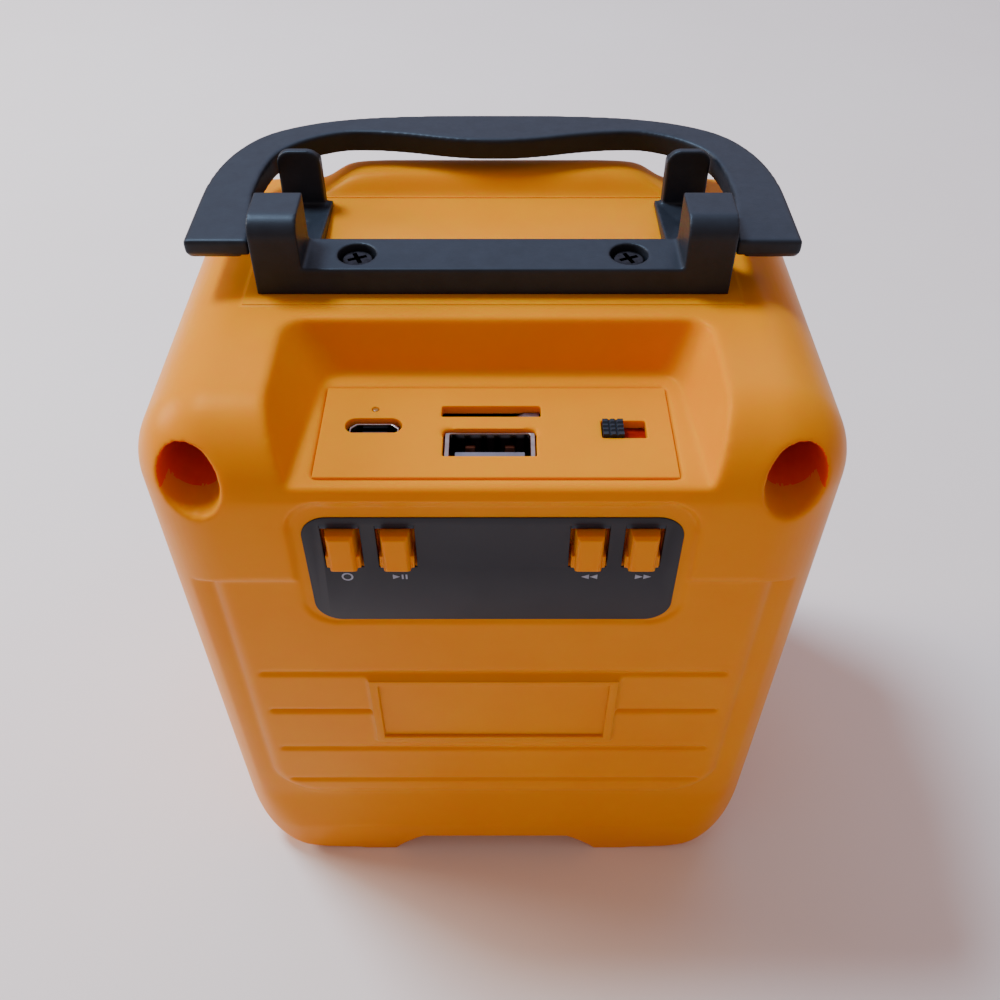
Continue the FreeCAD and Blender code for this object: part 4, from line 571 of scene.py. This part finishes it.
bracket = merged_copy("handle_bracket", "bracket_moulding")
RAIL_TOP = 0.12280
RAIL_DROP = 0.0021
UPRIGHT_MIDDLE = 0.0235
UPRIGHT_TAPER = 0.0013
FOOT_INNER_X = 0.0286
FOOT_OUTER_X = 0.0365
for vertex in bracket.data.vertices:
    if vertex.co.y > 0.0046 and abs(vertex.co.z - RAIL_TOP) < 0.0002:
        vertex.co.z -= RAIL_DROP
    if vertex.co.y > UPRIGHT_MIDDLE and vertex.co.z > 0.1285:
        vertex.co.y -= UPRIGHT_TAPER
for side in (-1, 1):
    left, right = sorted((side * FOOT_INNER_X, side * FOOT_OUTER_X))
    foot = block("foot", (left, 0.0040, 0.1198), (right, 0.0225, 0.1206))
    join_to(bracket, [foot])
softened(bracket, 0.26, 4, 110000)
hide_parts("handle_bracket")
dress(bracket, BLACK_NYLON, "housing")


# Carry handle: a flat moulding in black satin nylon with a swelling for the palm. It is sprung
# onto the posts by two pins moulded on its arms, whose cheeks run close beside the posts.
handle = merged_copy("carry_handle", "handle_moulding")
handle_low, handle_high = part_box("carry_handle")
CHEEK_INNER_X = 0.0373
CHEEK_OUTER_X = 0.0400
for side in (-1, 1):
    left, right = sorted((side * CHEEK_INNER_X, side * CHEEK_OUTER_X))
    cheek = block("cheek", (left, handle_low.y, handle_low.z), (right, 0.0120, handle_high.z))
    for vertex in cheek.data.vertices:
        if vertex.co.y > 0.01 and abs(vertex.co.x) < 0.038:
            vertex.co.x = side * 0.0391
        if vertex.co.y < 0.0 and vertex.co.z < 0.126:
            vertex.co.z += 0.0012
    join_to(handle, [cheek])
softened(handle, 0.28, 12, 70000)
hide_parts("carry_handle")
dress(handle, BLACK_NYLON, "handle")


# Screws: cold-headed steel with a pressed cross, blackened or zinc-plated. Two hold the bracket,
# two lie at the bottom of the wells and hold the shells together, and two hold the main board.
def cross_head_screw(name, head_radius, head_height, shank_radius, length, place, turn):
    """A pan-head screw, its seat at the place; turn brings its head from up to where it faces."""
    bpy.ops.object.select_all(action="DESELECT")
    bpy.ops.mesh.primitive_cylinder_add(
        vertices=48, radius=head_radius, depth=head_height, location=(0, 0, head_height / 2)
    )
    screw = bpy.context.object
    screw.name = name
    bpy.ops.object.transform_apply(location=True, rotation=True, scale=True)
    apply_modifier(
        screw, "rim", "BEVEL", width=head_height * 0.42, segments=5, limit_method="ANGLE", angle_limit=1.0
    )
    for angle in (0.4, 0.4 + math.pi / 2):
        bpy.ops.object.select_all(action="DESELECT")
        bpy.ops.mesh.primitive_cube_add(size=1, location=(0, 0, head_height), rotation=(0, 0, angle))
        bar = bpy.context.object
        bar.scale = (head_radius * 1.15, head_radius * 0.27, head_height * 1.3)
        bpy.ops.object.transform_apply(location=True, rotation=True, scale=True)
        cut(screw, bar)
    bpy.ops.object.select_all(action="DESELECT")
    bpy.ops.mesh.primitive_cylinder_add(
        vertices=24, radius=shank_radius, depth=length, location=(0, 0, -length / 2)
    )
    shank = bpy.context.object
    bpy.ops.object.transform_apply(location=True, rotation=True, scale=True)
    join_to(screw, [shank])
    screw.data.transform(Matrix.Translation(place) @ Matrix.Rotation(turn, 4, "X"))
    pick(screw)
    bpy.ops.object.shade_smooth_by_angle(angle=0.6)
    return screw


# blackened steel: dark, oily, with sharp glints
BLACK_STEEL = mottled_finish("blackened_steel", "#17171a", "#2c2c31", 0.8, 0.26, 0.4, 0.004, Metallic=1.0)
# zinc plate: grey, brushed
ZINC_STEEL = mottled_finish("zinc_plated_steel", "#9b9ea3", "#b9bcc0", 1.5, 0.3, 0.4, 0.003, Metallic=1.0)
SCREWS = (
    ("bracket_screws", "bracket_screw", 0.0214, BLACK_STEEL, "black_steel"),
    ("housing_screws", "housing_screw", WELL_X, BLACK_STEEL, "zinc_steel"),
    ("board_screws", "board_screw", 0.0200, ZINC_STEEL, "zinc_steel"),
)
for node, name, x, finish, slot in SCREWS:
    low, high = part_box(node)
    for side, label in ((-1, "left"), (1, "right")):
        if node == "bracket_screws":
            sizes = (0.0027, 0.0016, 0.0015, 0.013)
            place = Vector((side * x, (low.y + high.y) / 2, high.z - sizes[1]))
            turn = 0.0
        elif node == "housing_screws":
            sizes = (0.0029, 0.0020, 0.0015, 0.016)
            place = Vector((side * x, low.y + sizes[1], (low.z + high.z) / 2))
            turn = math.pi / 2
        else:
            sizes = (0.0019, 0.0012, 0.0010, 0.006)
            place = Vector((side * x, high.y - sizes[1], (low.z + high.z) / 2))
            turn = -math.pi / 2
        screw = cross_head_screw("%s_%s" % (name, label), *sizes, place, turn)
        dress(screw, finish, "housing")
        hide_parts(node)


# Keys: four orange ABS caps with bevelled faces, proud of the panel, with a low skirt on each
# side of their lower half where they slide in the panel.
KEY_X = {"mode": -0.0225, "play": -0.0144, "previous": 0.0144, "next": 0.0225}
KEY_Z = 0.098
KEY_FACE_SHARE = 0.84
OPENING_HALF_WIDTH = 0.0029
SKIRT_HALF_WIDTH = 0.0026
PANEL_FACE_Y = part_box("key_panel")[0].y
for key, x in KEY_X.items():
    cap = merged_copy(key + "_key", key + "_cap")
    # the cap narrows to its face, and is shortened where it nears the opening and the switch
    for vertex in cap.data.vertices:
        if vertex.co.y < -0.036:
            vertex.co.x = x + (vertex.co.x - x) * KEY_FACE_SHARE
            if vertex.co.z > KEY_Z:
                vertex.co.z -= 0.0004
        elif 0.0035 < vertex.co.z - KEY_Z < 0.0042:
            vertex.co.z -= 0.0006
        elif vertex.co.y > -0.0345:
            vertex.co.y -= 0.00015
    skirts = block(
        "skirts", (x - SKIRT_HALF_WIDTH, PANEL_FACE_Y - 0.0007, KEY_Z - 0.0040),
        (x + SKIRT_HALF_WIDTH, PANEL_FACE_Y + 0.003, KEY_Z - 0.0014),
    )
    shelf = block(
        "shelf", (x - OPENING_HALF_WIDTH, PANEL_FACE_Y + 0.0022, KEY_Z - 0.0046),
        (x + OPENING_HALF_WIDTH, PANEL_FACE_Y + 0.0028, KEY_Z + 0.0028),
    )
    join_to(cap, [skirts, shelf])
    softened(cap, 0.12, 4, 14000)
    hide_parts(key + "_key")
    dress(cap, ORANGE_ABS, key + "_button")
    # a black strip of painted shade: it darkens the upper end of the opening, where the panel shades the key
    lip = block(
        key + "_lip", (x - OPENING_HALF_WIDTH, PANEL_FACE_Y + 0.0001, KEY_Z + 0.00385),
        (x + OPENING_HALF_WIDTH, PANEL_FACE_Y + 0.0009, KEY_Z + 0.0048),
    )
    eased(lip, 0.05)
    dress(lip, BLACK_NYLON, "housing")


# Key panel: a sheet of black polycarbonate, die-cut round the keys and glued in its pocket, with
# plain signs in grey ink printed under the keys.

# screen-printed polycarbonate: smooth, slightly blue, and glossier than the mouldings
PANEL_SHEET = mottled_finish(
    "printed_polycarbonate", "#1c1d26", "#20212a", 12, 0.36, 0.2, 0.004, IOR=1.58, Specular_IOR_Level=0.2
)
PANEL_DROP = 0.0008
panel = merged_copy("key_panel", "panel_sheet")
for vertex in panel.data.vertices:
    near_key = min(abs(vertex.co.x - x) for x in KEY_X.values()) < 0.003
    if not (near_key and abs(vertex.co.z - KEY_Z) < 0.0047):
        vertex.co.z -= PANEL_DROP
apply_modifier(panel, "flat", "DECIMATE", decimate_type="DISSOLVE", angle_limit=0.01)
eased(panel, 0.12)
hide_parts("key_panel")
dress(panel, PANEL_SHEET, "housing")

# screen ink: flat grey-blue, a little broken at its edges
GREY_INK = mottled_finish("grey_screen_ink", "#8b90a3", "#a0a5b6", 1.0, 0.6, 0.15, 0.004)
SIGN_Z = 0.0911
SIGN_HALF = 0.00052


def sign_triangle(x, reach, way):
    """Triangle of a sign; way 1 points right, -1 points left."""
    bpy.ops.object.select_all(action="DESELECT")
    bpy.ops.mesh.primitive_circle_add(
        vertices=3, radius=0.001, fill_type="NGON", rotation=(math.pi / 2, 0, 0), location=(0, 0, 0)
    )
    mark = bpy.context.object
    bpy.ops.object.transform_apply(location=True, rotation=True, scale=True)
    top, left, right = sorted(mark.data.vertices, key=lambda vertex: -vertex.co.z)
    left.co = (x, PANEL_FACE_Y, SIGN_Z - SIGN_HALF)
    right.co = (x, PANEL_FACE_Y, SIGN_Z + SIGN_HALF)
    top.co = (x + way * reach, PANEL_FACE_Y, SIGN_Z)
    return mark


def sign_bar(x, half_width):
    """Upright bar of a sign."""
    bpy.ops.object.select_all(action="DESELECT")
    bpy.ops.mesh.primitive_plane_add(size=2, rotation=(math.pi / 2, 0, 0))
    mark = bpy.context.object
    mark.scale = (half_width, SIGN_HALF, 1)
    bpy.ops.object.transform_apply(location=True, rotation=True, scale=True)
    mark.data.transform(Matrix.Translation((x, PANEL_FACE_Y, SIGN_Z)))
    return mark


def sign_ring(x, radius, width):
    """Ring of a sign; width is the breadth of its line."""
    bpy.ops.object.select_all(action="DESELECT")
    bpy.ops.mesh.primitive_circle_add(
        vertices=32, radius=radius, fill_type="NGON", rotation=(math.pi / 2, 0, 0),
        location=(x, PANEL_FACE_Y, SIGN_Z),
    )
    mark = bpy.context.object
    bpy.ops.object.transform_apply(location=True, rotation=True, scale=True)
    bpy.ops.object.mode_set(mode="EDIT")
    bpy.ops.mesh.select_all(action="SELECT")
    bpy.ops.mesh.inset(thickness=width)
    bpy.ops.mesh.delete(type="FACE")
    bpy.ops.object.mode_set(mode="OBJECT")
    return mark


SIGNS = {
    "mode": [sign_ring(-0.0224, 0.0009, 0.00028)],
    "play": [sign_triangle(-0.0154, 0.0011, 1), sign_bar(-0.0139, 0.00014), sign_bar(-0.0133, 0.00014)],
    "previous": [sign_triangle(0.0148, 0.0012, -1), sign_triangle(0.0161, 0.0012, -1)],
    "next": [sign_triangle(0.0219, 0.0012, 1), sign_triangle(0.0232, 0.0012, 1)],
}
INK_DEPTH = 0.00004
for name, marks in SIGNS.items():
    sign = marks[0]
    join_to(sign, marks[1:])
    sign.name = name + "_sign"
    bpy.ops.object.mode_set(mode="EDIT")
    bpy.ops.mesh.select_all(action="SELECT")
    bpy.ops.mesh.normals_make_consistent(inside=False)
    bpy.ops.object.mode_set(mode="OBJECT")
    apply_modifier(sign, "ink", "SOLIDIFY", thickness=INK_DEPTH, offset=0.0)
    sign.data.transform(Matrix.Translation((0, -INK_DEPTH / 4, 0)))
    dress(sign, GREY_INK, "housing")


# Boards and their parts, out of sight behind the ports: green solder resist with copper traces
# under it, a blue radio board, epoxy chips, a sleeved can, nylon lead sockets, snap switches.
def solder_resist(name, board, trace):
    """Solder resist: glossy lacquer over copper traces of 0.4 mm that stand up a little."""
    finish, tree, shader, place = start_finish(name, board, 0.25, IOR=1.5)
    turned = add_node(tree, "ShaderNodeMapping", {"Vector": place}, {"Rotation": (math.pi / 2, 0, 0.2)})
    traces = add_node(
        tree, "ShaderNodeTexBrick", {"Vector": turned.outputs["Vector"]},
        {
            "Color1": linear(board), "Color2": linear(board), "Mortar": linear(trace), "Scale": per_mm(9),
            "Mortar Size": 0.04, "Mortar Smooth": 0.3,
        },
    )
    tree.links.new(traces.outputs["Color"], shader.inputs["Base Color"])
    relief = add_node(
        tree, "ShaderNodeBump", {"Height": traces.outputs["Fac"]}, {"Strength": 1.0, "Distance": 0.00003}
    )
    tree.links.new(relief.outputs["Normal"], shader.inputs["Normal"])
    return finish


def coat(node, finish):
    """Gives its finish to a CAD solid that is shown as it is."""
    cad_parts[node].data.materials.clear()
    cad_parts[node].data.materials.append(finish)


# the boards' lacquer: glossy green and blue, with paler traces
GREEN_BOARD = solder_resist("green_solder_resist", "#16532e", "#3a7d4c")
BLUE_BOARD = solder_resist("blue_solder_resist", "#173f66", "#3a6c9a")
# moulded epoxy: near black and half matt
CHIP_EPOXY = mottled_finish("moulded_chip_epoxy", "#1a1a1b", "#262627", 2.0, 0.5, 0.2, 0.008)
# aluminium under a thin clear sleeve: grey, with a broken sheen
CAN_SLEEVE = mottled_finish("sleeved_aluminium_can", "#868e99", "#a3abb6", 4.0, 0.3, 0.4, 0.003, Metallic=0.7)
# moulded nylon: milky white, satin
WHITE_NYLON = mottled_finish("white_moulded_nylon", "#dbd6c8", "#ece8dc", 4.0, 0.45, 0.3, 0.005, IOR=1.53)
for node, finish in (
    ("main_board", GREEN_BOARD), ("key_board", GREEN_BOARD), ("radio_module", BLUE_BOARD),
    ("amplifier_chip", CHIP_EPOXY), ("capacitor", CAN_SLEEVE), ("lead_sockets", WHITE_NYLON),
    ("press_switches", BLACK_NYLON),
):
    coat(node, finish)


# Battery: one cylindrical cell in a shrink sleeve, pressed into a cradle moulded in black nylon
# that stands on the base of the housing.

# heat-shrunk sleeve: glossy blue film with faint creases
CELL_SLEEVE = mottled_finish("shrunk_pvc_sleeve", "#2370ab", "#3283bd", 8.0, 0.22, 1.6, 0.02, IOR=1.53)
coat("battery_cell", CELL_SLEEVE)
coat("battery_cradle", BLACK_NYLON)


# Grille: thin steel sheet with round punched holes in close rows, powder-coated black, held
# in its seat by a moulded trim ring. The sheet runs on under the ring.

# powder coat: dull black with a fine pebbled skin
POWDER_COAT = mottled_finish("black_powder_coat", "#1b1c1e", "#242528", 10, 0.5, 0.35, 0.02)
trim_ring = moulded_copy("grille_ring", "grille_trim_ring", 0.25, 6, 70000)
dress(trim_ring, BLACK_NYLON, "housing")

SPEAKER_Z = 0.060
HOLE_RADIUS = 0.00112
HOLE_PITCH = 0.0032
SHEET_REACH = 0.0425
grille_low, grille_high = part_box("speaker_grille")
bpy.ops.object.select_all(action="DESELECT")
bpy.ops.mesh.primitive_circle_add(vertices=12, radius=HOLE_RADIUS)
sheet = bpy.context.object
sheet.name = "punched_grille"
bpy.ops.object.mode_set(mode="EDIT")
bpy.ops.mesh.select_all(action="SELECT")
side_scale = HOLE_PITCH / 2 / HOLE_RADIUS
bpy.ops.mesh.extrude_edges_move()
bpy.ops.transform.resize(value=(side_scale, side_scale, 1))
bpy.ops.object.mode_set(mode="OBJECT")
for vertex in sheet.data.vertices:
    angle = math.degrees(math.atan2(vertex.co.y, vertex.co.x)) % 60
    if vertex.co.length > HOLE_PITCH * 0.45 and 25 < angle < 35:
        vertex.co *= 2 / math.sqrt(3)
row = HOLE_PITCH * math.sqrt(3) / 2
columns = 2 * int(SHEET_REACH / HOLE_PITCH) + 4
rows = int(SHEET_REACH / row) + 2
for count, step in ((2, (HOLE_PITCH / 2, row, 0)), (columns, (HOLE_PITCH, 0, 0)), (rows, (0, 2 * row, 0))):
    apply_modifier(
        sheet, "rows", "ARRAY", count=count, use_relative_offset=False, use_constant_offset=True,
        constant_offset_displace=step, use_merge_vertices=True, merge_threshold=0.00002,
    )
middle = Vector((HOLE_PITCH * (columns // 2), row * (rows // 2 * 2), 0))
bpy.ops.object.mode_set(mode="EDIT")
bpy.ops.mesh.select_mode(type="FACE")
bpy.ops.object.mode_set(mode="OBJECT")
for face in sheet.data.polygons:
    face.select = (face.center - middle).length > SHEET_REACH
bpy.ops.object.mode_set(mode="EDIT")
bpy.ops.mesh.delete(type="FACE")
bpy.ops.mesh.select_all(action="SELECT")
bpy.ops.mesh.remove_doubles(threshold=0.00002)
bpy.ops.mesh.normals_make_consistent(inside=False)
bpy.ops.object.mode_set(mode="OBJECT")
sheet.data.transform(
    Matrix.Translation((0, (grille_low.y + grille_high.y) / 2, SPEAKER_Z))
    @ Matrix.Rotation(math.pi / 2, 4, "X") @ Matrix.Translation(-middle)
)
apply_modifier(sheet, "sheet", "SOLIDIFY", thickness=grille_high.y - grille_low.y, offset=0.0)
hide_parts("speaker_grille")
dress(sheet, POWDER_COAT, "housing")


# Driver: a pressed steel basket with a sintered ring magnet, a pressed paper cone with its dust
# cap, and a moulded rubber roll that carries the cone's rim.
TURN_STEPS = 96


def turned_form(name, stations):
    """A form turned about the speaker axis through (radius, y) stations, capped at a last small one."""
    bpy.ops.object.select_all(action="DESELECT")
    radius, y = stations[0]
    bpy.ops.mesh.primitive_circle_add(
        vertices=TURN_STEPS, radius=radius, location=(0, y, SPEAKER_Z), rotation=(math.pi / 2, 0, 0)
    )
    piece = bpy.context.object
    piece.name = name
    bpy.ops.object.transform_apply(location=True, rotation=True, scale=True)
    bpy.ops.object.mode_set(mode="EDIT")
    bpy.ops.mesh.select_all(action="SELECT")
    for next_radius, next_y in stations[1:]:
        bpy.ops.mesh.extrude_edges_move(TRANSFORM_OT_translate={"value": (0, next_y - y, 0)})
        share = next_radius / radius
        bpy.ops.transform.resize(value=(share, 1, share), center_override=(0, next_y, SPEAKER_Z))
        radius, y = next_radius, next_y
    if radius < 0.001:
        bpy.ops.mesh.edge_face_add()
    bpy.ops.mesh.select_all(action="SELECT")
    bpy.ops.mesh.remove_doubles(threshold=0.000005)
    bpy.ops.mesh.normals_make_consistent(inside=False)
    bpy.ops.object.mode_set(mode="OBJECT")
    bpy.ops.object.shade_smooth_by_angle(angle=0.6)
    return piece


SEAT_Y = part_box("speaker_surround")[0].y
ROLL_MIDDLE = 0.0301
ROLL_GAP = 0.00008
QUARTER_TURN = [math.pi / 2 * step / 8 for step in range(9)]
CREST = [(0.0028 * math.sin(a), SEAT_Y + 0.0003 + 0.0017 * math.cos(a)) for a in QUARTER_TURN]
HOLLOW = [(0.0024 * math.sin(a), SEAT_Y + 0.0012 * math.cos(a)) for a in QUARTER_TURN]
OUTER_LIP = [(0.0340, SEAT_Y + 0.0006), (0.0340, SEAT_Y)]
INNER_LIP = [(0.0262, SEAT_Y + 0.0005), (0.0262, SEAT_Y + 0.0001)]


def half_roll(start, way, lip):
    """Closed outline of one half of the roll: over its crest, round its lip, back under it."""
    crest = [(start + way * reach, y) for reach, y in CREST]
    hollow = [(start + way * reach, y) for reach, y in HOLLOW[::-1]]
    return crest + lip + hollow + crest[:1]


# butyl rubber: dark, dull, slightly bloomed
ROLL_RUBBER = mottled_finish("moulded_butyl_rubber", "#18181a", "#202022", 5.0, 0.62, 0.4, 0.01, IOR=1.52)
# the real roll bends as the cone moves, so its outer half stays and its inner half goes along
outer_roll = turned_form("outer_roll", half_roll(ROLL_MIDDLE, 1, OUTER_LIP))
dress(outer_roll, ROLL_RUBBER, "housing")
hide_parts("speaker_surround")
inner_roll = turned_form("inner_roll", half_roll(ROLL_MIDDLE - ROLL_GAP, -1, INNER_LIP))
dress(inner_roll, ROLL_RUBBER, "cone")

# a felt ring between the grille and the baffle
FELT_Y = grille_low.y - 0.00005
FELT_THICKNESS = 0.0004
FELT_INNER = 0.0342
FELT_OUTER = 0.0395
felt = turned_form("grille_felt", [
    (FELT_INNER, FELT_Y), (FELT_OUTER, FELT_Y), (FELT_OUTER, FELT_Y - FELT_THICKNESS),
    (FELT_INNER, FELT_Y - FELT_THICKNESS), (FELT_INNER, FELT_Y),
])
# black wool felt: it takes in nearly all light, and its fibres blur its edges
BLACK_FELT = mottled_finish("black_felt", "#131314", "#1c1c1e", 1.0, 0.85, 0.25, 0.06)
dress(felt, BLACK_FELT, "housing")

# radius and rise over the seat: rim, paper cone, and the dome of its dust cap
CONE_STATIONS = [
    (0.0278, -0.0010), (0.0278, -0.0002), (0.0258, -0.0003), (0.0200, -0.0006), (0.0120, -0.0008),
    (0.0116, -0.0006), (0.0114, -0.0002), (0.0100, 0.0003), (0.0075, 0.0008), (0.0045, 0.0012),
    (0.0020, 0.00135), (0.0002, 0.0014),
]
cone = turned_form("paper_cone", [(reach, SEAT_Y + rise) for reach, rise in CONE_STATIONS])
apply_modifier(cone, "paper", "SOLIDIFY", thickness=0.0004, offset=-1.0)
# pressed paper pulp: matt, with short fibres
CONE_PAPER = mottled_finish("pressed_paper_pulp", "#232325", "#2f2f31", 1.5, 0.75, 0.5, 0.05)
dress(cone, CONE_PAPER, "cone")
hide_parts("speaker_cone")

# sprayed steel pressing: dark grey, with a faint orange-peel
PAINTED_BASKET = mottled_finish("painted_pressed_steel", "#303134", "#3d3e42", 6.0, 0.4, 0.5, 0.008)
coat("driver_basket", PAINTED_BASKET)
# sintered ferrite: dull and stony
FERRITE = mottled_finish("sintered_ferrite", "#2c2c2e", "#3a3a3d", 3.0, 0.55, 0.3, 0.02)
coat("driver_magnet", FERRITE)


# Floor and light: a table with a pale laminate top, in a pale room. A small lamp hangs overhead,
# a wide soft one stands behind the speaker, and a third one stands on its left.
bpy.ops.object.select_all(action="DESELECT")
bpy.ops.mesh.primitive_plane_add(size=12, location=(0, 0, 0))
table = bpy.context.object
table.name = "table"

# matt white laminate: an even, slightly clouded white
table.data.materials.append(
    mottled_finish("white_laminate", "#f3ebe7", "#f6f0ec", 150, 0.7, 2.0, 0.01, Specular_IOR_Level=0.2)
)


def lamp_at(name, shape, size, direction, distance, power, colour):
    """A lamp at a distance from the ports, facing them."""
    light = bpy.data.lights.new(name, "AREA")
    light.shape = shape
    light.size = size[0]
    if shape == "RECTANGLE":
        light.size_y = size[1]
    light.energy = power
    light.color = linear(colour)[:3]
    aim = Vector((0, 0, 0.1))
    holder = bpy.data.objects.new(name, light)
    holder.location = aim + Vector(direction).normalized() * distance
    holder.rotation_euler = (aim - holder.location).to_track_quat("-Z", "Y").to_euler()
    bpy.context.scene.collection.objects.link(holder)


lamp_at("key_lamp", "DISK", (0.25,), (-0.40, 0.26, 0.88), 1.0, 11.5, "#d6eaff")
lamp_at("back_lamp", "RECTANGLE", (1.2, 0.8), (0.1, 0.7, 0.7), 1.1, 3.4, "#bcd3ff")
lamp_at("side_lamp", "DISK", (0.35,), (-0.87, 0.27, 0.40), 1.0, 6.0, "#fff2ea")
room = bpy.data.worlds.new("pale_room")
bpy.context.scene.world = room
room.use_nodes = True
room.node_tree.nodes["Background"].inputs["Color"].default_value = linear("#ffdbd0")
room.node_tree.nodes["Background"].inputs["Strength"].default_value = 0.42
